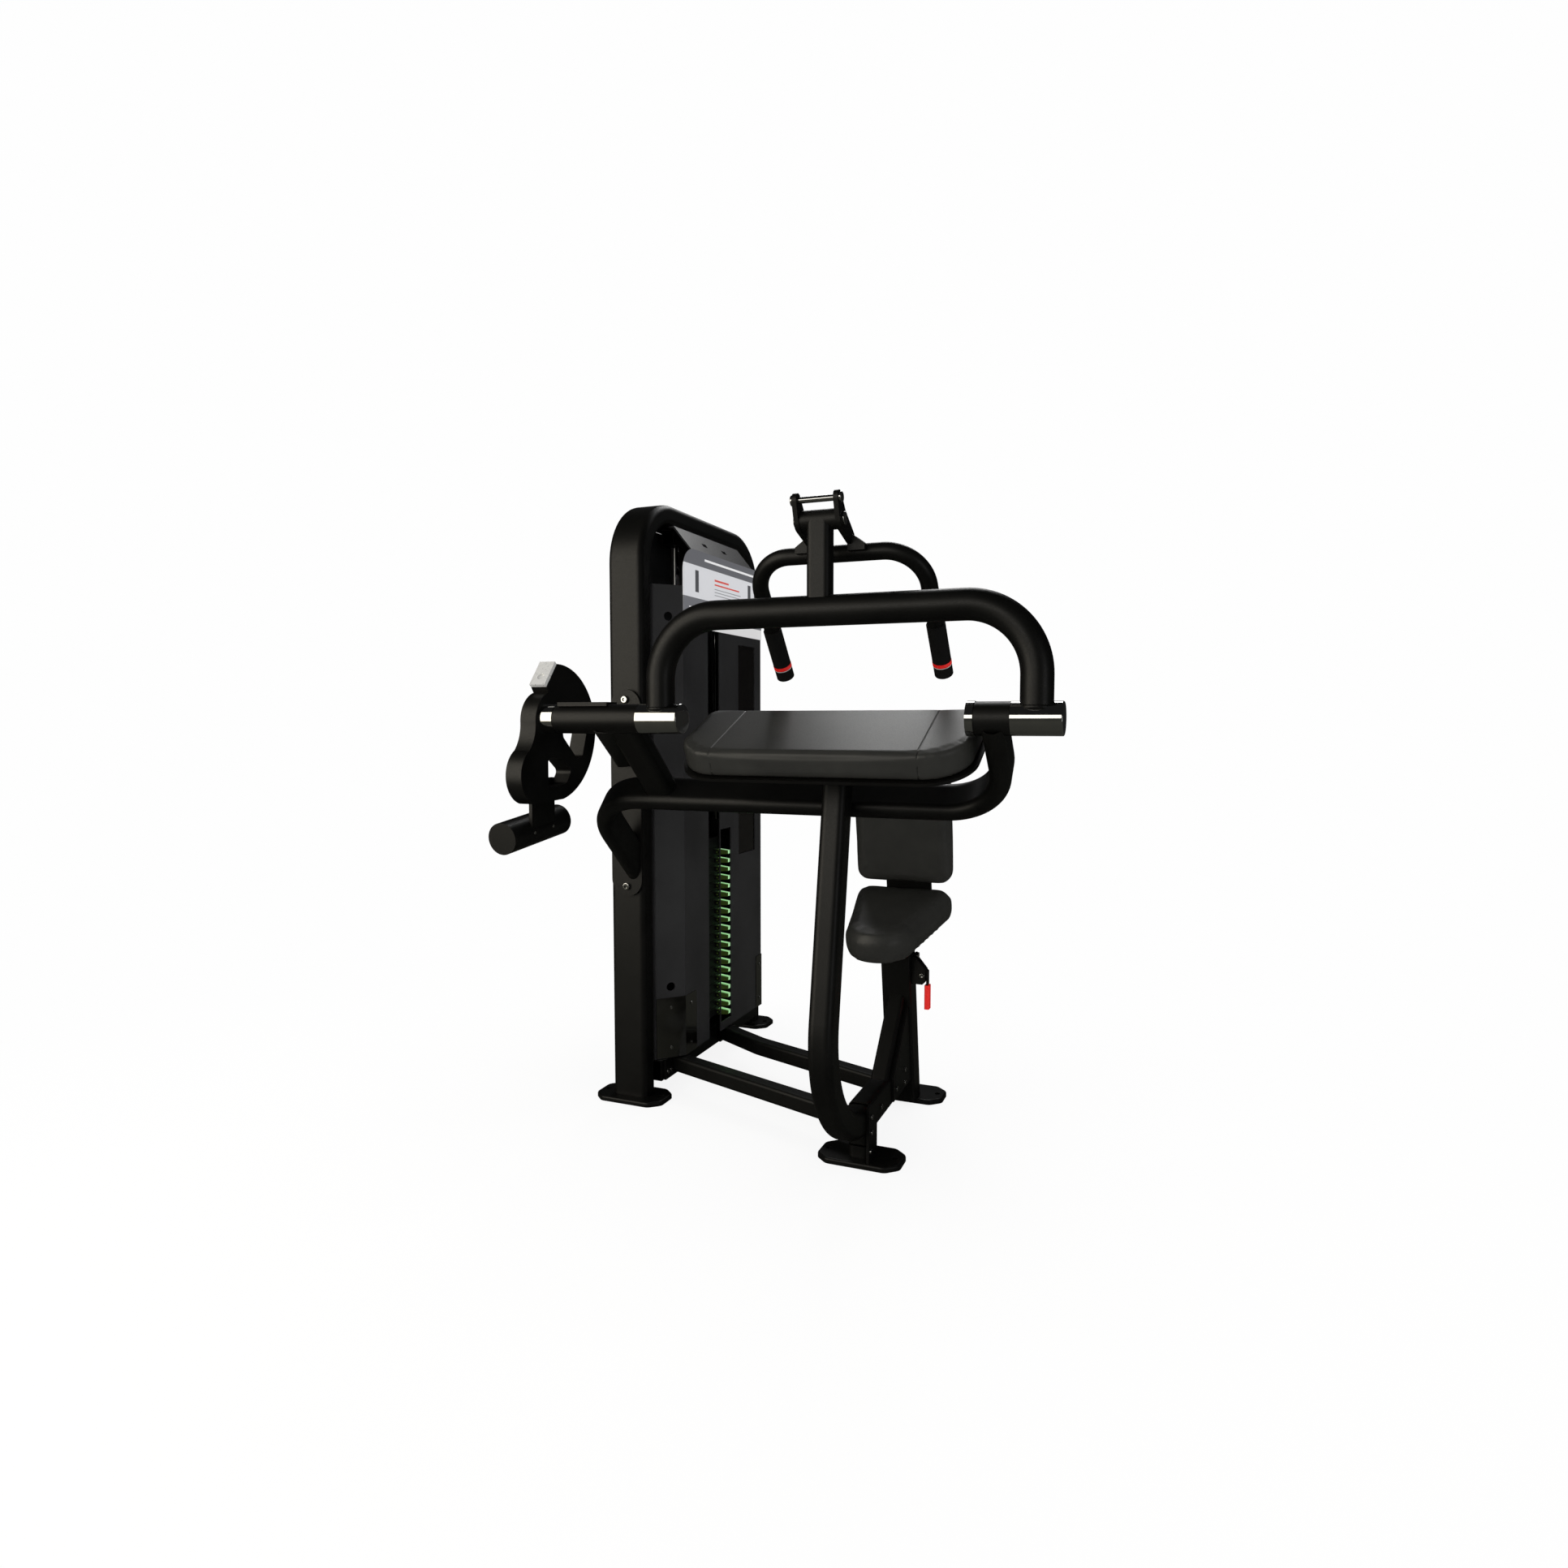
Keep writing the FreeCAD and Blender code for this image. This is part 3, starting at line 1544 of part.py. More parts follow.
for z in (panel_hole_low, shroud_top - panel_hole_below_top):
    spot = V(side_middle.x, side_middle.y, z)
    side_panel = side_panel.cut(rod(spot - side_out * overrun, spot + side_out * overrun, panel_hole_radius))
nodes["shroud_sides"] = group([side_panel.cut(sill), mirrored(side_panel).cut(sill)])

gap_y0 = tower_mid_y - gap_before_middle
gap_y1 = gap_y0 + gap_width


def front_sheet(y0, y1, mitre0, mitre1):
    inner_x = shroud_front_x - sheet
    return prism(
        [
            V(shroud_front_x, y0, shroud_bottom),
            V(shroud_front_x, y1, shroud_bottom),
            V(inner_x, y1 - mitre1, shroud_bottom),
            V(inner_x, y0 + mitre0, shroud_bottom),
        ],
        V(0, 0, shroud_top - shroud_bottom),
    )


nodes["shroud_near_front"] = front_sheet(front_y0, gap_y0, mitre_reach, 0)
far_front = front_sheet(gap_y1, front_y1, 0, mitre_reach)
window_y0 = gap_y1 + window_from_gap
window_y1 = front_y1 - window_edge
window_top = shroud_top - window_below_top
far_front = far_front.cut(
    box(
        shroud_front_x - overrun,
        shroud_front_x + overrun,
        window_y0,
        window_y1,
        window_bottom,
        window_top,
    )
)
slot_y0 = gap_y1 + slot_from_gap
far_front = far_front.cut(
    box(
        shroud_front_x - overrun,
        shroud_front_x + overrun,
        slot_y0,
        slot_y0 + slot_width,
        slot_bottom,
        slot_top,
    )
)
nodes["shroud_far_front"] = far_front
nodes["shroud_window"] = box(
    shroud_front_x - 2 * sheet,
    shroud_front_x - sheet,
    window_y0 - window_lap,
    window_y1 + window_lap,
    window_bottom - window_lap,
    window_top + window_lap,
)

# Placard: a flat plate with rounded upper corners over the top of the front sheets.
placard_bottom = shroud_top - placard_lap
placard_top = placard_bottom + placard_height
placard = box(
    shroud_front_x, shroud_front_x + sheet, front_y0, front_y1, placard_bottom, placard_top
)
placard_edges = [
    edge for edge in edges_along(placard, along_x) if edge.BoundBox.ZMin > placard_top - sheet
]
nodes["placard"] = placard.makeFillet(placard_corner, placard_edges)

# Top cover: a sloped sheet with two slots, from the placard up to the underside of the hoop.
cover_y0 = tower_near_y + hoop_bend
cover_y1 = 2 * tower_mid_y - cover_y0
hoop_under = tower_height - hoop_depth
cover_low = V(shroud_front_x, cover_y0, placard_top - sheet)
cover_high = V(hoop_front_x, cover_y0, hoop_under)
cover_way = (cover_high - cover_low).normalize()
cover_in = V(-cover_way.z, 0, cover_way.x)
cover = prism(
    [
        cover_low,
        cover_high,
        cover_high + V(-hoop_width / 6, 0, 0),
        cover_high + V(-hoop_width / 6, 0, -sheet),
        cover_high + cover_in * sheet + V(0, 0, -sheet),
        cover_low + V(0, 0, -2 * sheet),
    ],
    V(0, cover_y1 - cover_y0, 0),
)
for share in cover_hole_shares:
    hole_mid = cover_y0 + (cover_y1 - cover_y0) * share
    centre = (cover_low + cover_high) / 2
    hole = box(
        -overrun,
        overrun,
        hole_mid - cover_hole_length / 2,
        hole_mid + cover_hole_length / 2,
        -cover_hole_width / 2,
        cover_hole_width / 2,
    )
    hole.rotate(V(0, 0, 0), along_y, math.degrees(math.atan2(cover_way.x, cover_way.z)))
    hole.translate(V(centre.x, 0, centre.z))
    cover = cover.cut(hole)
nodes["shroud_top_cover"] = cover

# Rear sheet: closes the hoop behind the weight stack, up into its two bends.
rear = box(
    sill_back_x - sheet - soft_gap,
    sill_back_x - soft_gap,
    leg_inner_y,
    far_inner_y,
    sill_top,
    hoop_under - soft_gap,
)
rear_corners = [
    edge for edge in edges_along(rear, along_x) if edge.BoundBox.ZMin > hoop_under - hoop_bend
]
nodes["shroud_rear"] = rear.makeFillet(hoop_bend - hoop_depth / 2 + soft_gap, rear_corners)

# Kick guards: thin folded plates screwed over the lower corners of the shroud.


def kick_guard(front_length):
    out0 = side_start + side_out * guard_sheet
    out_mitre = guard_sheet * math.tan(math.acos(side_way.dot(along_y)) / 2)
    profile = [
        side_start,
        out0,
        V(shroud_front_x + guard_sheet, front_y0 - out_mitre, 0),
        V(shroud_front_x + guard_sheet, front_y0 + front_length, 0),
        V(shroud_front_x, front_y0 + front_length, 0),
        side_end,
    ]
    plate = prism(profile, V(0, 0, guard_height))
    plate.translate(V(0, 0, shroud_bottom))
    return plate


near_guard = kick_guard(guard_near_front)
near_guard = near_guard.cut(
    rod(
        V(side_middle.x, side_middle.y, panel_hole_low) - side_out * overrun,
        V(side_middle.x, side_middle.y, panel_hole_low) + side_out * overrun,
        panel_hole_radius,
    )
)
nodes["kick_guards"] = group([near_guard, mirrored(kick_guard(guard_far_front))])
frame_bolts = []
guard_edge = guard_height / 6
for z in (shroud_bottom + guard_edge, shroud_bottom + guard_height - guard_edge):
    side_spot = V(side_middle.x, side_middle.y, z) + side_out * guard_sheet
    front_spot = V(shroud_front_x + guard_sheet, front_y0 + guard_near_front / 2, z)
    far_spot = V(shroud_front_x + guard_sheet, front_y1 - guard_far_front / 2, z)
    frame_bolts.append(cap_head(side_spot, side_out, guard_screw_radius, guard_screw_head))
    frame_bolts.append(cap_head(front_spot, along_x, guard_screw_radius, guard_screw_head))
    frame_bolts.append(cap_head(far_spot, along_x, guard_screw_radius, guard_screw_head))

# Guide rods: two bright rods from the sill to a bracket under the top of the hoop.
bracket_z = hoop_under - rod_bracket_below
stack_x = tower_x + stack_ahead
rod_places = [tower_mid_y - rod_half_spacing, tower_mid_y + rod_half_spacing]
nodes["guide_rods"] = group(
    [on_z(stack_x, y, sill_top, bracket_z, rod_radius) for y in rod_places]
)
rod_bracket = box(
    stack_x - rod_bracket_width / 2,
    stack_x + rod_bracket_width / 2,
    rod_places[0] - rod_bracket_reach,
    rod_places[1] + rod_bracket_reach,
    bracket_z,
    hoop_under,
)
rod_bracket = rod_bracket.cut(
    box(
        stack_x - rod_bracket_width / 2 + sheet,
        stack_x + rod_bracket_width / 2 - sheet,
        rod_places[0] - rod_bracket_reach - overrun,
        rod_places[1] + rod_bracket_reach + overrun,
        bracket_z + sheet,
        hoop_under - sheet,
    )
)
nodes["rod_bracket"] = rod_bracket

# Bumpers: rubber rings on the guide rods, between the sill and the lowest plate.
nodes["stack_bumpers"] = group(
    [
        ring(
            V(stack_x, y, sill_top),
            V(stack_x, y, plate_bottom),
            bumper_radius,
            rod_radius,
        )
        for y in rod_places
    ]
)

# Weight stack: equal steel plates with bores for the guide rods.
rod_bore = rod_radius + bore_clearance
plate_front_x = stack_x + plate_width / 2
toggle_x = plate_front_x + toggle_height / 2 + running_gap
toggle_y0 = tower_mid_y + toggle_aside - toggle_width / 2
toggle_y1 = toggle_y0 + toggle_width
plates = []
stack_plate = box(
    stack_x - plate_width / 2,
    stack_x + plate_width / 2,
    tower_mid_y - plate_length / 2,
    tower_mid_y + plate_length / 2,
    plate_bottom,
    plate_bottom + plate_pitch,
)
stack_plate = stack_plate.makeChamfer(plate_chamfer, edges_along(stack_plate, along_y))
for y in rod_places:
    stack_plate = stack_plate.cut(
        on_z(stack_x, y, plate_bottom - overrun, plate_bottom + plate_pitch + overrun, rod_bore)
    )
plate_middle = plate_bottom + plate_pitch / 2
for y in (toggle_y0 - running_gap - toggle_ear_thickness, toggle_y1 + running_gap):
    ear_end = y + toggle_ear_thickness
    ear = box(
        plate_front_x,
        toggle_x,
        y,
        ear_end,
        plate_middle - toggle_ear_radius,
        plate_middle + toggle_ear_radius,
    )
    tip = rod(V(toggle_x, y, plate_middle), V(toggle_x, ear_end, plate_middle), toggle_ear_radius)
    stack_plate = joined([stack_plate, ear, tip])
    pin_bore = toggle_pin_radius + bore_clearance
    stack_plate = stack_plate.cut(
        rod(V(toggle_x, y, plate_middle), V(toggle_x, ear_end, plate_middle), pin_bore)
    )
for index in range(plate_count):
    plates.append(moved(stack_plate, V(0, 0, index * plate_pitch)))
nodes["weight_plates"] = group(plates)

# Stack head: the top plate with two guide bushes and the stem that the drive pulls.
head_z = plate_bottom + plate_count * plate_pitch
head_top = head_z + head_height
head = joined(
    [
        box(
            stack_x - plate_width / 2,
            stack_x + plate_width / 2,
            tower_mid_y - plate_length / 2,
            tower_mid_y + plate_length / 2,
            head_z,
            head_top,
        ),
        on_z(stack_x, rod_places[0], head_top, head_top + head_bush_height, head_bush_radius),
        on_z(stack_x, rod_places[1], head_top, head_top + head_bush_height, head_bush_radius),
        on_z(stack_x, tower_mid_y, head_top, head_top + head_stem_height, head_stem_radius),
    ]
)
for y in rod_places:
    head = head.cut(on_z(stack_x, y, head_z - overrun, head_top + head_bush_height + overrun, rod_bore))
nodes["stack_head"] = head

# Selector toggles: one small lever hinged between the ears of each plate, behind the slot.


def toggle(index):
    middle = plate_bottom + plate_pitch * (index + 0.5)
    low = middle - toggle_height / 2
    tip_low = middle - toggle_tip_height / 2
    end_x = plate_front_x + toggle_reach
    blade = prism(
        [
            V(toggle_x, toggle_y0, low),
            V(end_x, toggle_y0, tip_low),
            V(end_x, toggle_y0, tip_low + toggle_tip_height),
            V(toggle_x, toggle_y0, low + toggle_height),
        ],
        V(0, toggle_width, 0),
    )
    hub = rod(V(toggle_x, toggle_y0, middle), V(toggle_x, toggle_y1, middle), toggle_height / 2)
    pin_reach = running_gap + toggle_ear_thickness
    pin = rod(
        V(toggle_x, toggle_y0 - pin_reach, middle),
        V(toggle_x, toggle_y1 + pin_reach, middle),
        toggle_pin_radius,
    )
    return joined([blade, hub, pin])


toggles = [toggle(index) for index in range(plate_count)]
nodes["top_toggle"] = toggles[-1]
nodes["stack_toggles"] = group(toggles[:-1])

# Bolts of the mounting plate.
mount_top = mount_plate_bottom + mount_plate_length
for z in (mount_plate_bottom + mount_bolt_inset, mount_top - mount_bolt_inset):
    frame_bolts.append(
        cap_head(V(mount_x, plate_front_y, z), V(0, -1, 0), bolt_head_radius, bolt_head_height)
    )

# Bolts on the right of the base: the heel plate and the gusset of the seat brace.
heel_bolt_shares = [(0.25, 0.80), (0.25, 0.52), (0.15, 0.20)]
heel_bolt_x = heel_plate_x + heel_plate_thickness
for along_share, up_share in heel_bolt_shares:
    place = V(
        heel_bolt_x,
        heel_plate_depth * along_share - heel_plate_front,
        foot_thickness + heel_plate_height * up_share,
    )
    frame_bolts.append(cap_head(place, along_x, small_head_radius, small_head_height))
beam_bolt_y = heel_plate_depth
gusset_bolt_x = beam_width / 2 + gusset_thickness
beam_bolt = V(beam_width / 2, beam_bolt_y, beam_mid_z)
frame_bolts.append(cap_head(beam_bolt, along_x, small_head_radius, small_head_height))
gusset_bolt_shares = [(0.10, 0.13), (0.46, 0.08), (0.46, 0.24)]
for along_share, up_share in gusset_bolt_shares:
    place = V(
        gusset_bolt_x,
        gusset_front_y + (seat_foot_y - gusset_front_y) * along_share,
        gusset_bottom + (gusset_top - gusset_bottom) * up_share,
    )
    frame_bolts.append(cap_head(place, along_x, small_head_radius, small_head_height))
lever_bolt = V(pin_x, pin_low.y, lever_pin_z)
frame_bolts.append(cap_head(lever_bolt, V(0, -1, 0), small_head_radius, small_head_height))

# Small bolts of the rail flanges.
for start_y, side in ((near_rail_tower_y, -1), (far_rail_tower_y, 1)):
    for step in flange_bolt_shares:
        frame_bolts.append(
            cap_head(
                V(
                    sill_front_x + rail_flange,
                    start_y + side * (rail_size / 2 + rail_flange_side * step),
                    sill_z + flange_bolt_rise,
                ),
                along_x,
                small_head_radius,
                small_head_height,
            )
        )
nodes["frame_bolts"] = group(frame_bolts)

for name in nodes:
    nodes[name].exportStep("parts/" + name + ".step")
print(len(nodes), "nodes written")
for name in nodes:
    shape = nodes[name]
    if not shape.isValid():
        print("not valid:", name)
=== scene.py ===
import math

import bpy
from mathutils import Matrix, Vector


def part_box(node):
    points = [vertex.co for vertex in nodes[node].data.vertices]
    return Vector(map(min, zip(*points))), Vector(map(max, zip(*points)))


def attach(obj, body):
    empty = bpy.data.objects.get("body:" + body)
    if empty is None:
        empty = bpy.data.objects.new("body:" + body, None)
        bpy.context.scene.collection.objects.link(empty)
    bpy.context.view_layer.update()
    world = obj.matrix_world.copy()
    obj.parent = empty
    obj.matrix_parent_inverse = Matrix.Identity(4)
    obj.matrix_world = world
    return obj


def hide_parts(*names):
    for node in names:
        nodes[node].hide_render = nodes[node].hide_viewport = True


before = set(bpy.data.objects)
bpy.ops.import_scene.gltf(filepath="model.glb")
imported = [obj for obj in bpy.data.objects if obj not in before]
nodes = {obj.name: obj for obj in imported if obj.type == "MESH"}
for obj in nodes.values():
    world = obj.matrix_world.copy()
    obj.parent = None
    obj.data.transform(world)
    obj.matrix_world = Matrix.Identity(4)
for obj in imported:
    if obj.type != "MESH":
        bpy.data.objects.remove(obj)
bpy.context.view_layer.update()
mm = 0.001

# Camera: standing a little to the right of the machine, at chest height, turned left towards it.
# The frame is square, and the lens is the wide one that the perspective asks for.
camera_spot = Vector((0.621, -1.989, 0.952))
camera_dip = math.radians(3.69)
camera_turn = math.radians(22.0)
sensor_width_mm = 36
focal_pixels = 1205
frame_pixels = 1932
lens_data = bpy.data.cameras.new("camera")
camera = bpy.data.objects.new("camera", lens_data)
bpy.context.scene.collection.objects.link(camera)
bpy.context.scene.camera = camera
camera.location = camera_spot
camera.rotation_euler = (math.pi / 2 - camera_dip, 0, camera_turn)
lens_data.sensor_width = sensor_width_mm
lens_data.lens = sensor_width_mm * focal_pixels / frame_pixels
lens_data.clip_start = 0.05
lens_data.clip_end = 60
bpy.context.scene.view_settings.view_transform = "Standard"


# Studio: a white surround and a pale floor for the camera, and dark walls for the mirror-like finishes,
# as in a blacked-out product studio. A tall soft box stands at the front left, a lower one behind the
# camera draws the bright streak on the chrome, and one above the rear lights the tops of the pads.
def linear(code):
    """An sRGB hex value such as 1c1c1d as a linear colour with alpha."""
    parts = [int(code[i : i + 2], 16) / 255 for i in (0, 2, 4)]
    light = [c / 12.92 if c <= 0.04045 else ((c + 0.055) / 1.055) ** 2.4 for c in parts]
    return (*light, 1.0)


def add(tree, kind, settings=(), links=()):
    """Adds a node to a tree. Settings are attributes or input values, links are input to output."""
    node = tree.nodes.new(kind)
    for key, value in dict(settings).items():
        if isinstance(key, str) and hasattr(node, key):
            setattr(node, key, value)
        else:
            node.inputs[key].default_value = value
    for key, output in dict(links).items():
        tree.links.new(output, node.inputs[key])
    return node


world = bpy.data.worlds.new("studio")
bpy.context.scene.world = world
world.use_nodes = True
world.node_tree.nodes.clear()
path = add(world.node_tree, "ShaderNodeLightPath")
seen = add(
    world.node_tree,
    "ShaderNodeMath",
    {"operation": "MAXIMUM"},
    {0: path.outputs["Is Camera Ray"], 1: path.outputs["Is Transmission Ray"]},
)
# Diffuse rays find an even white room, mirror-like ones find dark walls, and the camera sees white.
soft_light = add(world.node_tree, "ShaderNodeBackground", {"Color": linear("ffffff"), "Strength": 1.0})
dark_wall = add(world.node_tree, "ShaderNodeBackground", {"Color": linear("1c1c1c"), "Strength": 1.0})
white_wall = add(world.node_tree, "ShaderNodeBackground", {"Color": linear("fefefe"), "Strength": 1.0})
room = add(
    world.node_tree,
    "ShaderNodeMixShader",
    {},
    {0: path.outputs["Is Glossy Ray"], 1: soft_light.outputs[0], 2: dark_wall.outputs[0]},
)
chosen = add(
    world.node_tree,
    "ShaderNodeMixShader",
    {},
    {0: seen.outputs[0], 1: room.outputs[0], 2: white_wall.outputs[0]},
)
add(world.node_tree, "ShaderNodeOutputWorld", {}, {"Surface": chosen.outputs[0]})

bpy.ops.object.select_all(action="DESELECT")
floor_width = 40
floor_drop = 0.5 * mm
bpy.ops.mesh.primitive_plane_add(size=floor_width, location=(0, 0, -floor_drop))
floor = bpy.context.object
floor.name = "floor"
# The vinyl is pale and matt, so it shows the soft shadow round the feet and fades to white further out.
floor_paint = bpy.data.materials.new("studio_floor_vinyl")
floor_paint.use_nodes = True
floor_paint.node_tree.nodes.clear()
floor_path = add(floor_paint.node_tree, "ShaderNodeLightPath")
floor_place = add(floor_paint.node_tree, "ShaderNodeTexCoord")
floor_reach = add(
    floor_paint.node_tree,
    "ShaderNodeVectorMath",
    {"operation": "LENGTH"},
    {0: floor_place.outputs["Object"]},
)
floor_fade = add(
    floor_paint.node_tree,
    "ShaderNodeMapRange",
    {"From Min": 1.0, "From Max": 2.6, "To Min": 0.88, "To Max": 1.0},
    {"Value": floor_reach.outputs["Value"]},
)
floor_share = add(
    floor_paint.node_tree,
    "ShaderNodeMath",
    {"operation": "MULTIPLY"},
    {0: floor_path.outputs["Is Camera Ray"], 1: floor_fade.outputs["Result"]},
)
floor_tone = add(
    floor_paint.node_tree,
    "ShaderNodeMix",
    {"data_type": "RGBA", 6: linear("f2f2f2"), 7: linear("343430")},
    {0: floor_path.outputs["Is Glossy Ray"]},
)
floor_matt = add(floor_paint.node_tree, "ShaderNodeBsdfDiffuse", {}, {"Color": floor_tone.outputs[2]})
floor_white = add(floor_paint.node_tree, "ShaderNodeEmission", {"Color": linear("fefefe"), "Strength": 1.0})
floor_mix = add(
    floor_paint.node_tree,
    "ShaderNodeMixShader",
    {},
    {0: floor_share.outputs[0], 1: floor_matt.outputs[0], 2: floor_white.outputs[0]},
)
add(floor_paint.node_tree, "ShaderNodeOutputMaterial", {}, {"Surface": floor_mix.outputs[0]})
floor.data.materials.append(floor_paint)

for name, place, aim, width, height, power, colour in [
    ("left_front_box", (-2.6, -2.7, 1.75), (-0.3, 0.0, 1.0), 2.2, 3.4, 46, "fff7e6"),
    ("camera_side_box", (-0.5, -3.5, 1.7), (0.1, -0.2, 0.95), 1.9, 1.3, 13, "fffaf0"),
    ("rear_top_box", (-0.4, 2.0, 3.1), (0.0, -0.2, 0.9), 1.4, 0.9, 20, "ffffff"),
    ("right_front_box", (3.2, -1.8, 0.9), (-0.4, 0.1, 0.7), 0.7, 1.6, 5, "ffffff"),
]:
    box_data = bpy.data.lights.new(name, "AREA")
    box_data.shape = "RECTANGLE"
    box_data.size = width
    box_data.size_y = height
    box_data.energy = power
    box_data.color = linear(colour)[:3]
    soft_box = bpy.data.objects.new(name, box_data)
    bpy.context.scene.collection.objects.link(soft_box)
    soft_box.location = place
    soft_box.rotation_euler = (Vector(aim) - Vector(place)).to_track_quat("-Z", "Y").to_euler()

# Base: laser-cut foot plates, a floor beam, a front post bent from oval tube, and the two rails that tie it
# to the tower. All are steel, welded and then powder coated black.
# The coat is satin with a fine orange peel, so its highlights are wide and a little broken, and its
# black is slightly warm.
powder_black = bpy.data.materials.new("satin_black_powder_coat")
powder_black.use_nodes = True
tree = powder_black.node_tree
coat = tree.nodes["Principled BSDF"]
coat.inputs["Specular IOR Level"].default_value = 0.42
place = add(tree, "ShaderNodeTexCoord")
cloud = add(
    tree,
    "ShaderNodeTexNoise",
    {"Scale": 9.0, "Detail": 4.0, "Roughness": 0.6},
    {"Vector": place.outputs["Object"]},
)
tone = add(tree, "ShaderNodeValToRGB", {}, {"Fac": cloud.outputs["Fac"]})
tone.color_ramp.elements[0].position = 0.35
tone.color_ramp.elements[0].color = linear("050504")
tone.color_ramp.elements[1].position = 0.7
tone.color_ramp.elements[1].color = linear("0a0a08")
tree.links.new(tone.outputs["Color"], coat.inputs["Base Color"])
peel_mm = 2.2  # real orange peel is about 1 mm across, drawn at twice that so that it shows
peel = add(
    tree,
    "ShaderNodeTexNoise",
    {"Scale": 1 / (peel_mm * mm), "Detail": 1.5},
    {"Vector": place.outputs["Object"]},
)
sheen = add(
    tree,
    "ShaderNodeMapRange",
    {"From Min": 0.3, "From Max": 0.7, "To Min": 0.36, "To Max": 0.5},
    {"Value": peel.outputs["Fac"]},
)
tree.links.new(sheen.outputs["Result"], coat.inputs["Roughness"])
relief = add(
    tree,
    "ShaderNodeBump",
    {"Strength": 0.16, "Distance": 0.25 * mm},
    {"Height": peel.outputs["Fac"]},
)
tree.links.new(relief.outputs["Normal"], coat.inputs["Normal"])


def finish_as(material, *names):
    """Gives CAD nodes or new pieces one finish over their whole surface."""
    for name in names:
        mesh = (nodes[name] if name in nodes else bpy.data.objects[name]).data
        mesh.materials.clear()
        mesh.materials.append(material)


finish_as(
    powder_black,
    "front_foot",
    "rear_feet",
    "floor_beam",
    "front_post",
    "near_rail",
    "far_rail",
    "tower_sill",
)

# Tower: a hoop bent from rectangular steel tube with rounded corners, the flat plate bolted to its near leg
# that carries the arm frame, and the folded bracket that holds the guide rods. The same black coat.
finish_as(powder_black, "tower_hoop", "mounting_plate", "rod_bracket")

# Bolts and rods: hexagon socket screws, guide rods and hinge rods in bright chromium plate over ground steel,
# screwed or pressed in place. The plate mirrors its surroundings, with a faint grinding haze that softens
# the mirror a little.
chrome = bpy.data.materials.new("bright_chrome_plate")
chrome.use_nodes = True
tree = chrome.node_tree
plate = tree.nodes["Principled BSDF"]
plate.inputs["Metallic"].default_value = 1.0
place = add(tree, "ShaderNodeTexCoord")
haze = add(
    tree,
    "ShaderNodeTexNoise",
    {"Scale": 60.0, "Detail": 3.0},
    {"Vector": place.outputs["Object"]},
)
silver = add(tree, "ShaderNodeValToRGB", {}, {"Fac": haze.outputs["Fac"]})
silver.color_ramp.elements[0].color = linear("d2d3d3")
silver.color_ramp.elements[1].color = linear("e4e4e2")
tree.links.new(silver.outputs["Color"], plate.inputs["Base Color"])
polish = add(
    tree,
    "ShaderNodeMapRange",
    {"From Min": 0.3, "From Max": 0.7, "To Min": 0.05, "To Max": 0.1},
    {"Value": haze.outputs["Fac"]},
)
tree.links.new(polish.outputs["Result"], plate.inputs["Roughness"])
finish_as(chrome, "frame_bolts", "guide_rods", "yoke_rods", "lever_plunger", "counterweight_screws")

# Arm pivot: two bearing housings welded to the arm frame under the black coat, ground shafts, chromed
# collars and sleeves, end caps, and bronze bushes pressed in the housings.
# The bronze is dull and speckled, as sintered metal is.
finish_as(chrome, "pivot_collars", "pivot_sleeves", "pivot_shafts", "pivot_end_caps")
finish_as(powder_black, "pivot_housings")
bronze = bpy.data.materials.new("sintered_bronze")
bronze.use_nodes = True
tree = bronze.node_tree
bush = tree.nodes["Principled BSDF"]
bush.inputs["Metallic"].default_value = 1.0
bush.inputs["Roughness"].default_value = 0.45
place = add(tree, "ShaderNodeTexCoord")
grain = add(
    tree,
    "ShaderNodeTexNoise",
    {"Scale": 900.0, "Detail": 2.0},
    {"Vector": place.outputs["Object"]},
)
metal = add(tree, "ShaderNodeValToRGB", {}, {"Fac": grain.outputs["Fac"]})
metal.color_ramp.elements[0].color = linear("8a6a3c")
metal.color_ramp.elements[1].color = linear("b08a52")
tree.links.new(metal.outputs["Color"], bush.inputs["Base Color"])
finish_as(bronze, "pivot_bushes")

# Arm frame: oval steel tube bent round under the pad and back to the mounting plate, with the strut and
# the hub bar welded in, and the folded tray that carries the pad's board. Black coat.
finish_as(powder_black, "pivot_frame", "frame_strut", "hub_bar", "arm_pad_tray")

# Upholstery: moulded foam under black vinyl, stapled below to a plywood board.
# The vinyl has a fine leather grain and a satin face, so broad highlights lie on its flats and the edges
# roll over softly.
vinyl = bpy.data.materials.new("grained_black_vinyl")
vinyl.use_nodes = True
tree = vinyl.node_tree
skin = tree.nodes["Principled BSDF"]
skin.inputs["Specular IOR Level"].default_value = 0.45
place = add(tree, "ShaderNodeTexCoord")
wash = add(
    tree,
    "ShaderNodeTexNoise",
    {"Scale": 12.0, "Detail": 5.0, "Roughness": 0.6},
    {"Vector": place.outputs["Object"]},
)
dye = add(tree, "ShaderNodeValToRGB", {}, {"Fac": wash.outputs["Fac"]})
dye.color_ramp.elements[0].position = 0.3
dye.color_ramp.elements[0].color = linear("222220")
dye.color_ramp.elements[1].position = 0.75
dye.color_ramp.elements[1].color = linear("2a2a27")
tree.links.new(dye.outputs["Color"], skin.inputs["Base Color"])
grain_mm = 1.8  # the real grain is nearer 1 mm, drawn coarser so that it shows
pebble = add(
    tree,
    "ShaderNodeTexVoronoi",
    {"feature": "SMOOTH_F1", "Scale": 1 / (grain_mm * mm), "Smoothness": 0.35},
    {"Vector": place.outputs["Object"]},
)
satin = add(
    tree,
    "ShaderNodeMapRange",
    {"From Min": 0.1, "From Max": 0.7, "To Min": 0.34, "To Max": 0.44},
    {"Value": pebble.outputs["Distance"]},
)
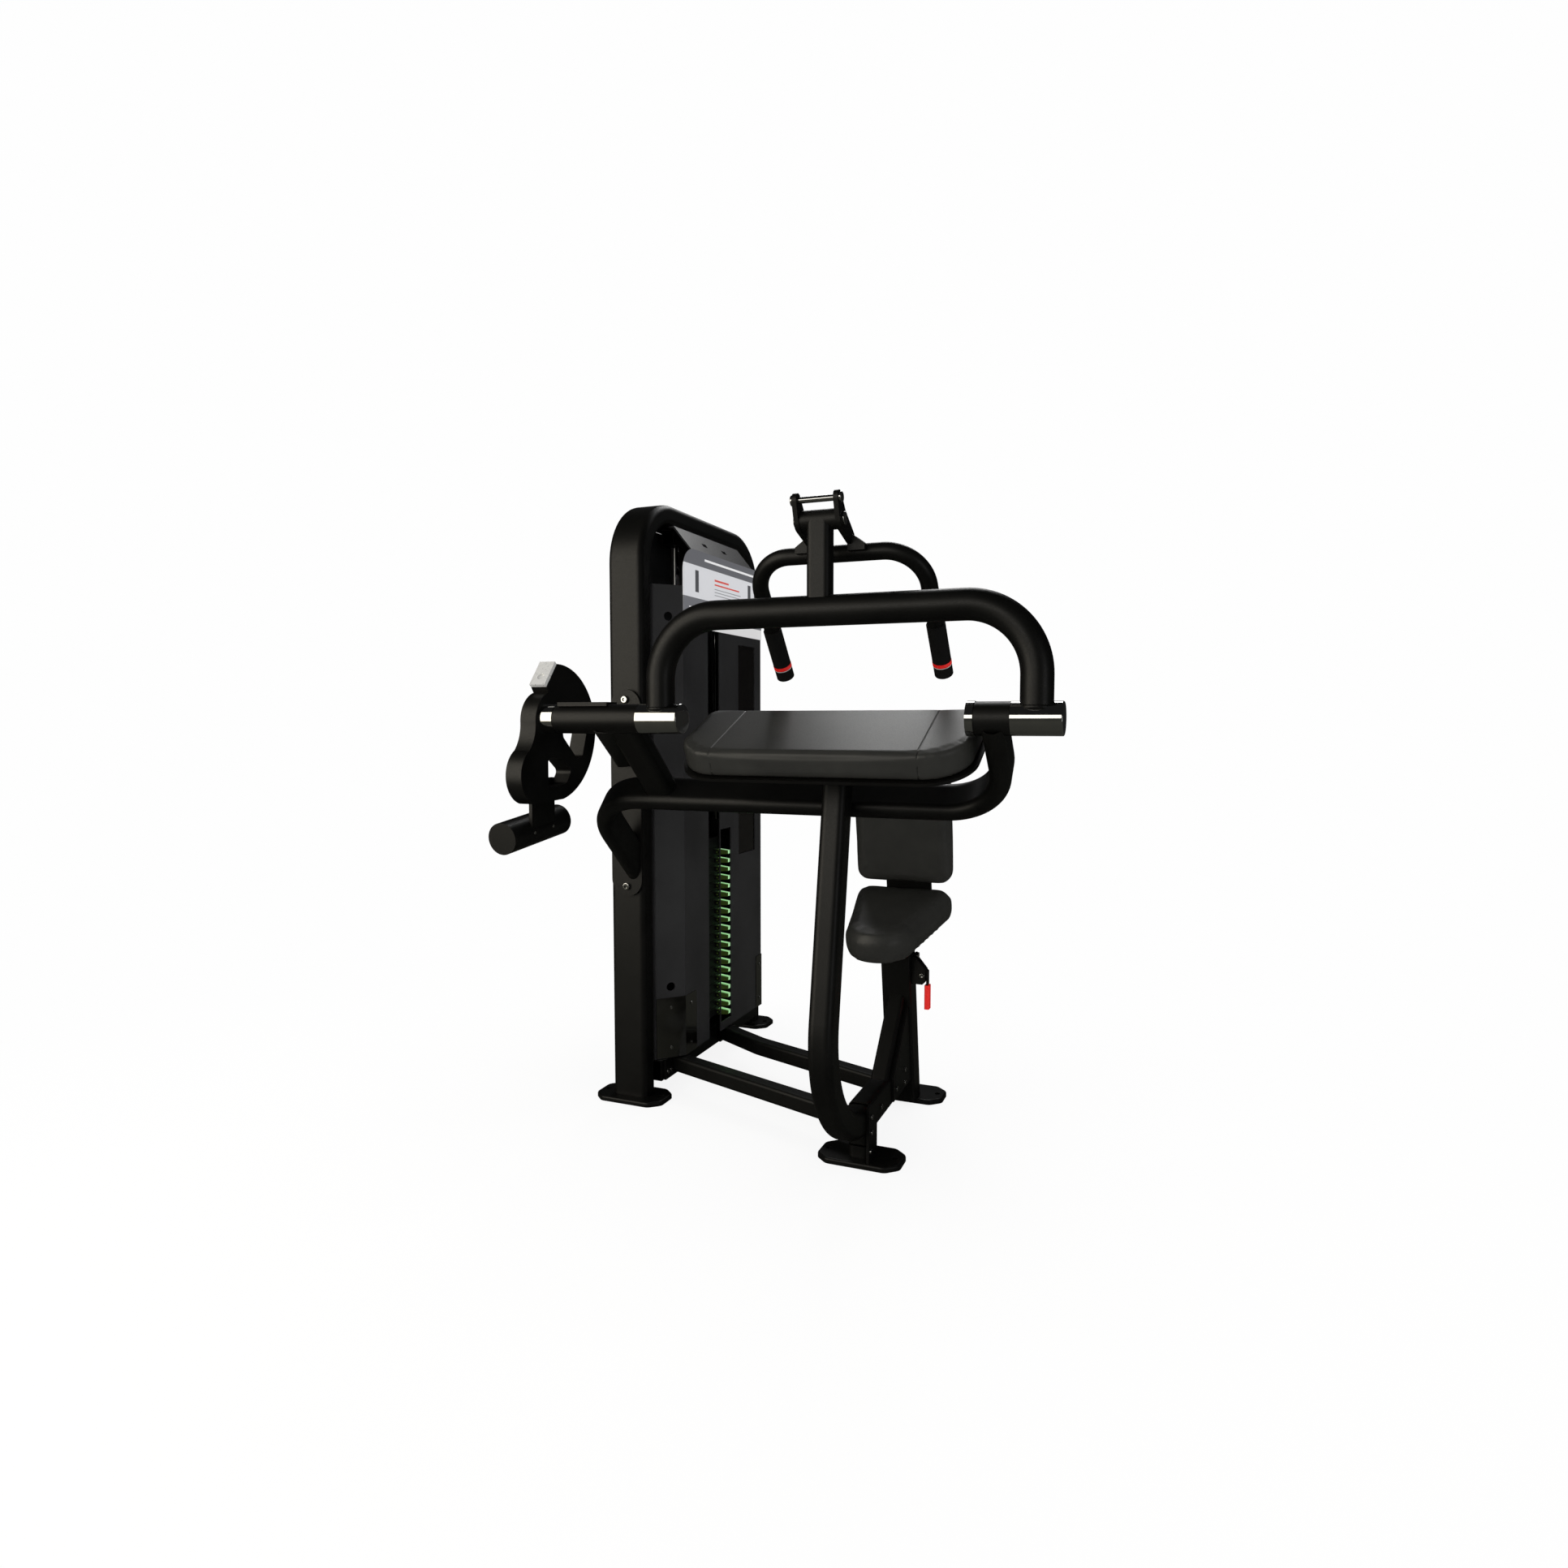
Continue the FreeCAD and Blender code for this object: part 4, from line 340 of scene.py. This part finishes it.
tree.links.new(satin.outputs["Result"], skin.inputs["Roughness"])
leather = add(
    tree,
    "ShaderNodeBump",
    {"Strength": 0.22, "Distance": 0.2 * mm, "invert": True},
    {"Height": pebble.outputs["Distance"]},
)
tree.links.new(leather.outputs["Normal"], skin.inputs["Normal"])


board_grip = 3 * mm
cloth_stiffness = 30
cloth_bending = 0.5
cloth_frames = 20


def upholstered(name, cushions, held, voxel, eased, pressure, cap, settled):
    """A pad from its CAD cushions: one remeshed foam, its cover blown up as cloth and then settled.

    Points for which held(point) is true are on the board and stay put. No point moves further than cap.
    """
    bpy.ops.object.select_all(action="DESELECT")
    for cushion in cushions:
        pad = bpy.data.objects.new(name, nodes[cushion].data.copy())
        bpy.context.scene.collection.objects.link(pad)
        bpy.context.view_layer.objects.active = pad
        pad.select_set(True)
    if len(cushions) > 1:
        bpy.ops.object.join()
    pad.name = name
    pad.data.name = name
    pad.data.materials.clear()
    bpy.ops.object.mode_set(mode="EDIT")
    bpy.ops.mesh.select_all(action="SELECT")
    bpy.ops.mesh.remove_doubles(threshold=0.02 * mm)
    bpy.ops.mesh.normals_make_consistent(inside=False)
    bpy.ops.object.mode_set(mode="OBJECT")
    remesh = pad.modifiers.new("foam", "REMESH")
    remesh.mode = "VOXEL"
    remesh.voxel_size = voxel
    bpy.ops.object.modifier_apply(modifier="foam")
    smooth = pad.modifiers.new("ease", "SMOOTH")
    smooth.factor = 0.5
    smooth.iterations = eased
    bpy.ops.object.modifier_apply(modifier="ease")
    start = [v.co.copy() for v in pad.data.vertices]
    pins = pad.vertex_groups.new(name="board")
    pins.add([i for i, p in enumerate(start) if held(p)], 1.0, "REPLACE")
    cloth = pad.modifiers.new("blow", "CLOTH")
    cloth.settings.effector_weights.gravity = 0
    cloth.settings.use_pressure = True
    cloth.settings.uniform_pressure_force = pressure
    cloth.settings.vertex_group_mass = "board"
    cloth.settings.quality = 4
    cloth.settings.tension_stiffness = cloth_stiffness
    cloth.settings.compression_stiffness = cloth_stiffness
    cloth.settings.bending_stiffness = cloth_bending
    cloth.point_cache.frame_start = 1
    cloth.point_cache.frame_end = cloth_frames
    for step in range(1, cloth_frames + 1):
        bpy.context.scene.frame_set(step)
    bpy.ops.object.modifier_apply(modifier="blow")
    bpy.context.scene.frame_set(1)
    for vertex, before in zip(pad.data.vertices, start):
        move = vertex.co - before
        if move.length > cap:
            vertex.co = before + move * (cap / move.length)
    pad.vertex_groups.clear()
    settle = pad.modifiers.new("settle", "SMOOTH")
    settle.factor = 0.5
    settle.iterations = settled
    bpy.ops.object.modifier_apply(modifier="settle")
    finer = pad.modifiers.new("finer", "SUBSURF")
    finer.levels = 1
    finer.render_levels = 1
    bpy.ops.object.modifier_apply(modifier="finer")
    bpy.ops.object.shade_smooth()
    pad.data.materials.append(vinyl)
    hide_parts(*cushions)
    return pad


# Arm pad: a sloped pad, one foam under three vinyl panels that are sewn together at 200 mm each side of
# the middle, on a board screwed to the tray. Each seam is pulled into the foam as a narrow crease, and
# the top front edge stays crisp.
pad_slope = math.radians(23.8)
pad_up = Vector((0, -math.sin(pad_slope), math.cos(pad_slope)))
pad_front = Vector((0, -0.3405, 0.893))
pad_thickness = 52 * mm


def on_pad_board(point):
    return (point - pad_front).dot(pad_up) < board_grip - pad_thickness


arm_pad = upholstered(
    "arm_pad_cover",
    ["arm_pad_centre", "arm_pad_ends"],
    on_pad_board,
    voxel=4 * mm,
    eased=1,
    pressure=1.0,
    cap=1.5 * mm,
    settled=1,
)
seam_x = 200 * mm
seam_half = 1.8 * mm
seam_depth = 3.0 * mm
seam_reach = 0.05 * mm
bpy.ops.object.mode_set(mode="EDIT")
for side in (-1, 1):
    for shift in (-seam_half, 0, seam_half):
        bpy.ops.mesh.select_all(action="SELECT")
        bpy.ops.mesh.bisect(plane_co=(side * seam_x + shift, 0, 0), plane_no=(1, 0, 0))
bpy.ops.object.mode_set(mode="OBJECT")
for vertex in arm_pad.data.vertices:
    if abs(abs(vertex.co.x) - seam_x) < seam_reach:
        vertex.co -= vertex.normal * seam_depth
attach(arm_pad, "frame")

# Seat post: a hollow rectangular steel column welded to its brace, the slide inside it, the cheeks of the
# lever, and the bent flat that carries the back pad. All in the black coat.
finish_as(powder_black, "seat_post", "seat_brace", "seat_slide", "back_carrier", "lever_mount")

# Seat pad: a saddle that narrows to the front, foam under the same vinyl, screwed to the plate of the slide.
seat_slope = math.radians(12)
seat_up = Vector((0, -math.sin(seat_slope), math.cos(seat_slope)))
seat_rear = Vector((0, 0.365, 0.5445))
seat_thickness = 69 * mm


def on_seat_board(point):
    return (point - seat_rear).dot(seat_up) < board_grip - seat_thickness


seat_pad = upholstered(
    "seat_pad",
    ["seat_cushion"],
    on_seat_board,
    voxel=5 * mm,
    eased=3,
    pressure=1.0,
    cap=3 * mm,
    settled=6,
)
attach(seat_pad, "seat")

# Back pad: a rounded slab that leans a little over the seat, foam under the same vinyl, screwed to its
# carrier.
back_lean = math.radians(10)
back_rearward = Vector((0, math.cos(back_lean), math.sin(back_lean)))
back_foot = Vector((0, 0.324, 0.555))
back_thickness = 55 * mm


def on_back_board(point):
    return (point - back_foot).dot(back_rearward) > back_thickness - board_grip


back_pad = upholstered(
    "back_pad",
    ["back_cushion"],
    on_back_board,
    voxel=5 * mm,
    eased=3,
    pressure=1.0,
    cap=3 * mm,
    settled=6,
)
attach(back_pad, "seat")

# Seat lever: a bent steel flat in the black coat, hinged beside the post, with a grip of red vinyl pushed on.
# The vinyl is saturated and half glossy, so it reads as one clean red even in shade.
finish_as(powder_black, "seat_lever")
red_plastic = bpy.data.materials.new("red_moulded_vinyl")
red_plastic.use_nodes = True
tree = red_plastic.node_tree
dip = tree.nodes["Principled BSDF"]
dip.inputs["Roughness"].default_value = 0.35
place = add(tree, "ShaderNodeTexCoord")
drift = add(
    tree,
    "ShaderNodeTexNoise",
    {"Scale": 90.0, "Detail": 3.0},
    {"Vector": place.outputs["Object"]},
)
red = add(tree, "ShaderNodeValToRGB", {}, {"Fac": drift.outputs["Fac"]})
red.color_ramp.elements[0].color = linear("d8120c")
red.color_ramp.elements[1].color = linear("ec1a12")
tree.links.new(red.outputs["Color"], dip.inputs["Base Color"])
finish_as(red_plastic, "lever_grip", "grip_rings")

# Swing arm: a round steel tube bent to a U and welded to the sleeves, with the post and the cross tube of the
# handle hinge welded on its middle. Black coat.
finish_as(powder_black, "u_bar", "arm_post", "handle_pivot_tube")

# Weld beads: a full fillet weld round each foot of the U-bar, laid between the tube end and the round
# sleeve, under the same coat. Each is spun from a small round section, with the ripple of the weld.
bead_radius = 5.6 * mm
bead_reach = 24.6 * mm
bead_lift = 19.6 * mm
bead_sides = 14
bead_steps = 64
bead_ripples = 40
ripple_share = 0.06
ubar_radius = 28.5 * mm
ubar_low, ubar_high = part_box("u_bar")
sleeve_low, sleeve_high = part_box("pivot_sleeves")
sleeve_middle = (sleeve_low + sleeve_high) / 2
left_leg_x = ubar_low.x + ubar_radius
right_leg_x = ubar_high.x - ubar_radius
for name, leg_x in [("left_foot_weld", left_leg_x), ("right_foot_weld", right_leg_x)]:
    centre = Vector((leg_x, sleeve_middle.y, sleeve_middle.z + bead_lift))
    bpy.ops.object.select_all(action="DESELECT")
    bpy.ops.mesh.primitive_circle_add(
        vertices=bead_sides,
        radius=bead_radius,
        location=centre + Vector((bead_reach, 0, 0)),
        rotation=(math.pi / 2, 0, 0),
    )
    bead = bpy.context.object
    bead.name = name
    bpy.ops.object.transform_apply(location=True, rotation=True, scale=True)
    bpy.ops.object.mode_set(mode="EDIT")
    bpy.ops.mesh.select_all(action="SELECT")
    bpy.ops.mesh.spin(steps=bead_steps, angle=2 * math.pi, center=centre, axis=(0, 0, 1))
    bpy.ops.mesh.select_all(action="SELECT")
    bpy.ops.mesh.remove_doubles(threshold=0.05 * mm)
    bpy.ops.mesh.normals_make_consistent(inside=False)
    bpy.ops.object.mode_set(mode="OBJECT")
    for vertex in bead.data.vertices:
        turn = math.atan2(vertex.co.y - centre.y, vertex.co.x - centre.x)
        ripple = 1 + ripple_share * math.sin(turn * bead_ripples)
        across = Vector((math.cos(turn), math.sin(turn), 0)) * bead_reach + centre
        vertex.co = across + (vertex.co - across) * ripple
    bpy.ops.object.shade_smooth()
    finish_as(powder_black, name)
    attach(bead, "arm")

# Handles: two laser-cut steel cheeks welded on a bent round tube, hung on the cross tube of the arm by a
# rod. Black coat.
finish_as(powder_black, "yoke_plates", "handle_frame")

# Grips and bumpers: moulded rubber, pushed on the tube ends and on the guide rods.
# The rubber is matt with a fine stipple, so it stays the darkest thing beside the satin coat.
rubber = bpy.data.materials.new("matt_black_rubber")
rubber.use_nodes = True
tree = rubber.node_tree
sleeve = tree.nodes["Principled BSDF"]
sleeve.inputs["Base Color"].default_value = linear("0e0e0e")
sleeve.inputs["Specular IOR Level"].default_value = 0.3
place = add(tree, "ShaderNodeTexCoord")
stipple_mm = 1.6
stipple = add(
    tree,
    "ShaderNodeTexVoronoi",
    {"Scale": 1 / (stipple_mm * mm)},
    {"Vector": place.outputs["Object"]},
)
dull = add(
    tree,
    "ShaderNodeMapRange",
    {"From Min": 0.0, "From Max": 0.6, "To Min": 0.6, "To Max": 0.75},
    {"Value": stipple.outputs["Distance"]},
)
tree.links.new(dull.outputs["Result"], sleeve.inputs["Roughness"])
points = add(
    tree,
    "ShaderNodeBump",
    {"Strength": 0.3, "Distance": 0.3 * mm, "invert": True},
    {"Height": stipple.outputs["Distance"]},
)
tree.links.new(points.outputs["Normal"], sleeve.inputs["Normal"])
finish_as(rubber, "handle_grips", "stack_bumpers")

# Cam and counterweight: a cast iron cam pressed on the shaft, with a zinc-plated belt clamp, a flat neck, and
# a solid round bar screwed to it that balances the arm. Black coat.
# The zinc is bright but not a mirror, so the clamp stays pale from every side.
finish_as(powder_black, "cam", "counterweight_neck", "counterweight")
zinc = bpy.data.materials.new("bright_zinc_plate")
zinc.use_nodes = True
tree = zinc.node_tree
clamp = tree.nodes["Principled BSDF"]
clamp.inputs["Metallic"].default_value = 0.45
place = add(tree, "ShaderNodeTexCoord")
spangle = add(
    tree,
    "ShaderNodeTexNoise",
    {"Scale": 160.0, "Detail": 3.0},
    {"Vector": place.outputs["Object"]},
)
pale = add(tree, "ShaderNodeValToRGB", {}, {"Fac": spangle.outputs["Fac"]})
pale.color_ramp.elements[0].color = linear("dcdcda")
pale.color_ramp.elements[1].color = linear("f0f0ee")
tree.links.new(pale.outputs["Color"], clamp.inputs["Base Color"])
brushed = add(
    tree,
    "ShaderNodeMapRange",
    {"From Min": 0.3, "From Max": 0.7, "To Min": 0.25, "To Max": 0.4},
    {"Value": spangle.outputs["Fac"]},
)
tree.links.new(brushed.outputs["Result"], clamp.inputs["Roughness"])
finish_as(zinc, "cam_clamp")

# Grip trims: beside each red ring a thin zinc-plated steel band, rolled from strip and pressed on the grip.
# Each is a circle round the grip, drawn out to the width of the strip and given its thickness.
trim_radius = 19.15 * mm
trim_width = 1.6 * mm
trim_offset = 4.6 * mm
trim_thickness = 0.5 * mm
trim_sides = 96
trim_sharp = math.radians(40)
grip_lean = math.radians(39)
grip_way = Vector((0, math.sin(grip_lean), -math.cos(grip_lean)))
ring_outer = 19.4 * mm
rings_low, rings_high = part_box("grip_rings")
rings_middle = (rings_low + rings_high) / 2
ring_x = rings_high.x - ring_outer
for name, grip_x in [("left_grip_trim", -ring_x), ("right_grip_trim", ring_x)]:
    middle = Vector((grip_x, rings_middle.y, rings_middle.z)) + grip_way * trim_offset
    bpy.ops.object.select_all(action="DESELECT")
    bpy.ops.mesh.primitive_circle_add(
        vertices=trim_sides,
        radius=trim_radius,
        location=middle,
        rotation=grip_way.to_track_quat("Z", "Y").to_euler(),
    )
    trim = bpy.context.object
    trim.name = name
    bpy.ops.object.mode_set(mode="EDIT")
    bpy.ops.mesh.select_all(action="SELECT")
    bpy.ops.mesh.extrude_region_move(TRANSFORM_OT_translate={"value": grip_way * trim_width})
    bpy.ops.object.mode_set(mode="OBJECT")
    bpy.ops.object.transform_apply(location=True, rotation=True, scale=True)
    rolled = trim.modifiers.new("strip", "SOLIDIFY")
    rolled.thickness = trim_thickness
    rolled.offset = 1.0
    bpy.ops.object.modifier_apply(modifier="strip")
    bpy.ops.object.shade_smooth_by_angle(angle=trim_sharp)
    finish_as(zinc, name)
    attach(trim, "handles")

# Shrouds: folded steel sheets screwed round the stack, with a slotted cover over the top.
# Their charcoal coat is a shade paler than the frame and a little smoother, so the tower parts from its hoop.
charcoal = bpy.data.materials.new("charcoal_powder_coat")
charcoal.use_nodes = True
tree = charcoal.node_tree
sheet_coat = tree.nodes["Principled BSDF"]
sheet_coat.inputs["Specular IOR Level"].default_value = 0.4
place = add(tree, "ShaderNodeTexCoord")
cloud = add(
    tree,
    "ShaderNodeTexNoise",
    {"Scale": 6.0, "Detail": 4.0},
    {"Vector": place.outputs["Object"]},
)
grey = add(tree, "ShaderNodeValToRGB", {}, {"Fac": cloud.outputs["Fac"]})
grey.color_ramp.elements[0].position = 0.35
grey.color_ramp.elements[0].color = linear("222223")
grey.color_ramp.elements[1].position = 0.7
grey.color_ramp.elements[1].color = linear("2a2a2b")
tree.links.new(grey.outputs["Color"], sheet_coat.inputs["Base Color"])
fine = add(
    tree,
    "ShaderNodeTexNoise",
    {"Scale": 420.0, "Detail": 1.5},
    {"Vector": place.outputs["Object"]},
)
soft_gloss = add(
    tree,
    "ShaderNodeMapRange",
    {"From Min": 0.3, "From Max": 0.7, "To Min": 0.3, "To Max": 0.4},
    {"Value": fine.outputs["Fac"]},
)
tree.links.new(soft_gloss.outputs["Result"], sheet_coat.inputs["Roughness"])
finish_as(charcoal, "shroud_sides", "shroud_near_front", "shroud_far_front", "shroud_top_cover", "shroud_rear")

# Kick guards: thin bent sheets of polished dark steel, screwed over the lower corners of the shrouds.
# The polish is nearly a mirror, so each guard takes the tone of whatever stands before it.
guard_steel = bpy.data.materials.new("polished_dark_steel")
guard_steel.use_nodes = True
tree = guard_steel.node_tree
guard = tree.nodes["Principled BSDF"]
guard.inputs["Metallic"].default_value = 1.0
place = add(tree, "ShaderNodeTexCoord")
scuff = add(
    tree,
    "ShaderNodeTexNoise",
    {"Scale": 30.0, "Detail": 4.0},
    {"Vector": place.outputs["Object"]},
)
dark = add(tree, "ShaderNodeValToRGB", {}, {"Fac": scuff.outputs["Fac"]})
dark.color_ramp.elements[0].color = linear("8a8a86")
dark.color_ramp.elements[1].color = linear("a0a09c")
tree.links.new(dark.outputs["Color"], guard.inputs["Base Color"])
mirror = add(
    tree,
    "ShaderNodeMapRange",
    {"From Min": 0.3, "From Max": 0.7, "To Min": 0.1, "To Max": 0.18},
    {"Value": scuff.outputs["Fac"]},
)
tree.links.new(mirror.outputs["Result"], guard.inputs["Roughness"])
finish_as(guard_steel, "kick_guards")

# Window: a smoked polycarbonate sheet fixed behind the far front sheet, glossy and nearly black, so that it
# closes the shroud and still gives a clear highlight.
smoke = bpy.data.materials.new("smoked_polycarbonate")
smoke.use_nodes = True
tree = smoke.node_tree
pane = tree.nodes["Principled BSDF"]
pane.inputs["IOR"].default_value = 1.58
place = add(tree, "ShaderNodeTexCoord")
streak = add(
    tree,
    "ShaderNodeTexNoise",
    {"Scale": 14.0, "Detail": 3.0},
    {"Vector": place.outputs["Object"]},
)
tint = add(tree, "ShaderNodeValToRGB", {}, {"Fac": streak.outputs["Fac"]})
tint.color_ramp.elements[0].color = linear("060505")
tint.color_ramp.elements[1].color = linear("0d0b0a")
tree.links.new(tint.outputs["Color"], pane.inputs["Base Color"])
glaze = add(
    tree,
    "ShaderNodeMapRange",
    {"From Min": 0.3, "From Max": 0.7, "To Min": 0.08, "To Max": 0.14},
    {"Value": streak.outputs["Fac"]},
)
tree.links.new(glaze.outputs["Result"], pane.inputs["Roughness"])
finish_as(smoke, "shroud_window")

# Placard: a printed polyester sheet on a flat panel with rounded upper corners, set on top of the shroud.
# Its print is plain bands, blocks and lines in greys with two red lines, and its face is satin.
placard_low, placard_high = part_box("placard")
print_coat = bpy.data.materials.new("printed_polyester_sheet")
print_coat.use_nodes = True
tree = print_coat.node_tree
panel = tree.nodes["Principled BSDF"]
panel.inputs["Roughness"].default_value = 0.35
place = add(tree, "ShaderNodeTexCoord")
spot = add(tree, "ShaderNodeSeparateXYZ", {}, {"Vector": place.outputs["Object"]})
height_share = add(
    tree,
    "ShaderNodeMapRange",
    {"From Min": placard_low.z, "From Max": placard_high.z},
    {"Value": spot.outputs["Z"]},
)
bands = add(tree, "ShaderNodeValToRGB", {}, {"Fac": height_share.outputs["Result"]})
bands.color_ramp.interpolation = "CONSTANT"
steps = [(0.0, "e2e2e2"), (0.14, "77787d"), (0.38, "e0e1e5"), (0.8, "6c6d72")]
for position, code in steps[1:3]:
    stop = bands.color_ramp.elements.new(position)
    stop.color = linear(code)
bands.color_ramp.elements[0].color = linear(steps[0][1])
bands.color_ramp.elements[-1].position = steps[3][0]
bands.color_ramp.elements[-1].color = linear(steps[3][1])


def printed(below, code, y_low, y_high, z_low, z_high):
    """Lays one plain patch of colour over a print, between shares of the placard's width and height."""
    masks = []
    for source, low, high in [(width_share, y_low, y_high), (height_share, z_low, z_high)]:
        middle = add(
            tree,
            "ShaderNodeMath",
            {"operation": "COMPARE", 1: (low + high) / 2, 2: (high - low) / 2},
            {0: source.outputs["Result"]},
        )
        masks.append(middle.outputs[0])
    patch = add(tree, "ShaderNodeMath", {"operation": "MULTIPLY"}, {0: masks[0], 1: masks[1]})
    return add(
        tree,
        "ShaderNodeMix",
        {"data_type": "RGBA", 7: linear(code)},
        {0: patch.outputs[0], 6: below},
    ).outputs[2]


width_share = add(
    tree,
    "ShaderNodeMapRange",
    {"From Min": placard_low.y, "From Max": placard_high.y},
    {"Value": spot.outputs["Y"]},
)
print_colour = bands.outputs["Color"]
for code, y_low, y_high, z_low, z_high in [
    ("f2f2f3", 0.24, 0.9, 0.885, 0.915),
    ("55565a", 0.13, 0.17, 0.46, 0.74),
    ("e0564c", 0.36, 0.54, 0.665, 0.69),
    ("e0564c", 0.36, 0.68, 0.61, 0.63),
    ("8b8c90", 0.36, 0.7, 0.555, 0.565),
    ("8b8c90", 0.36, 0.7, 0.515, 0.525),
    ("8b8c90", 0.36, 0.62, 0.475, 0.485),
    ("55565a", 0.8, 0.84, 0.47, 0.75),
    ("55565a", 0.89, 0.93, 0.47, 0.75),
    ("f2f2f3", 0.06, 0.4, 0.25, 0.265),
]:
    print_colour = printed(print_colour, code, y_low, y_high, z_low, z_high)
tree.links.new(print_colour, panel.inputs["Base Color"])
finish_as(print_coat, "placard")

# Weight stack: twenty cast iron plates and a head that slide on the two guide rods.
# Their black paint is thin over sandy castings, so it is duller than the coat of the frame.
iron = bpy.data.materials.new("painted_iron")
iron.use_nodes = True
tree = iron.node_tree
slab = tree.nodes["Principled BSDF"]
slab.inputs["Specular IOR Level"].default_value = 0.3
place = add(tree, "ShaderNodeTexCoord")
sand = add(
    tree,
    "ShaderNodeTexNoise",
    {"Scale": 300.0, "Detail": 3.0},
    {"Vector": place.outputs["Object"]},
)
black = add(tree, "ShaderNodeValToRGB", {}, {"Fac": sand.outputs["Fac"]})
black.color_ramp.elements[0].color = linear("0c0c0c")
black.color_ramp.elements[1].color = linear("161616")
tree.links.new(black.outputs["Color"], slab.inputs["Base Color"])
rough = add(
    tree,
    "ShaderNodeMapRange",
    {"From Min": 0.3, "From Max": 0.7, "To Min": 0.5, "To Max": 0.65},
    {"Value": sand.outputs["Fac"]},
)
tree.links.new(rough.outputs["Result"], slab.inputs["Roughness"])
finish_as(iron, "weight_plates", "stack_head")

# Toggles: a lever of moulded green nylon for each plate, hinged at its front edge.
# The nylon is bright green. Its colour carries painted light: a painted glow, the same green given off as
# emission, and painted shade that turns it olive towards the near side.
green_plastic = bpy.data.materials.new("green_moulded_nylon")
green_plastic.use_nodes = True
tree = green_plastic.node_tree
toggle = tree.nodes["Principled BSDF"]
toggle.inputs["Roughness"].default_value = 0.35
place = add(tree, "ShaderNodeTexCoord")
toggle_y = add(tree, "ShaderNodeSeparateXYZ", {}, {"Vector": place.outputs["Object"]})
toggle_low, toggle_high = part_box("top_toggle")
# Painted shade: along Y each toggle is olive on the near side and pale green on the far side.
painted_shade_until = toggle_low.y + 5 * mm
painted_light_from = toggle_high.y - 6 * mm
painted_shade_blend = add(
    tree,
    "ShaderNodeMapRange",
    {"From Min": painted_shade_until, "From Max": painted_light_from},
    {"Value": toggle_y.outputs["Y"]},
)
# This ramp paints the shade: dark olive up to the near mark, pale green from the far mark on.
green = add(tree, "ShaderNodeValToRGB", {}, {"Fac": painted_shade_blend.outputs["Result"]})
for position, code in [(0.3, "3d5a20"), (0.42, "a9eaa4")]:
    green.color_ramp.elements.new(position).color = linear(code)
green.color_ramp.elements[0].color = linear("2c3a14")
green.color_ramp.elements[-1].color = linear("ccfac8")
tree.links.new(green.outputs["Color"], toggle.inputs["Base Color"])
# Painted glow: the same green is given off as light, though the toggles are no lamp.
tree.links.new(green.outputs["Color"], toggle.inputs["Emission Color"])
toggle.inputs["Emission Strength"].default_value = 0.4
finish_as(green_plastic, "stack_toggles", "top_toggle")
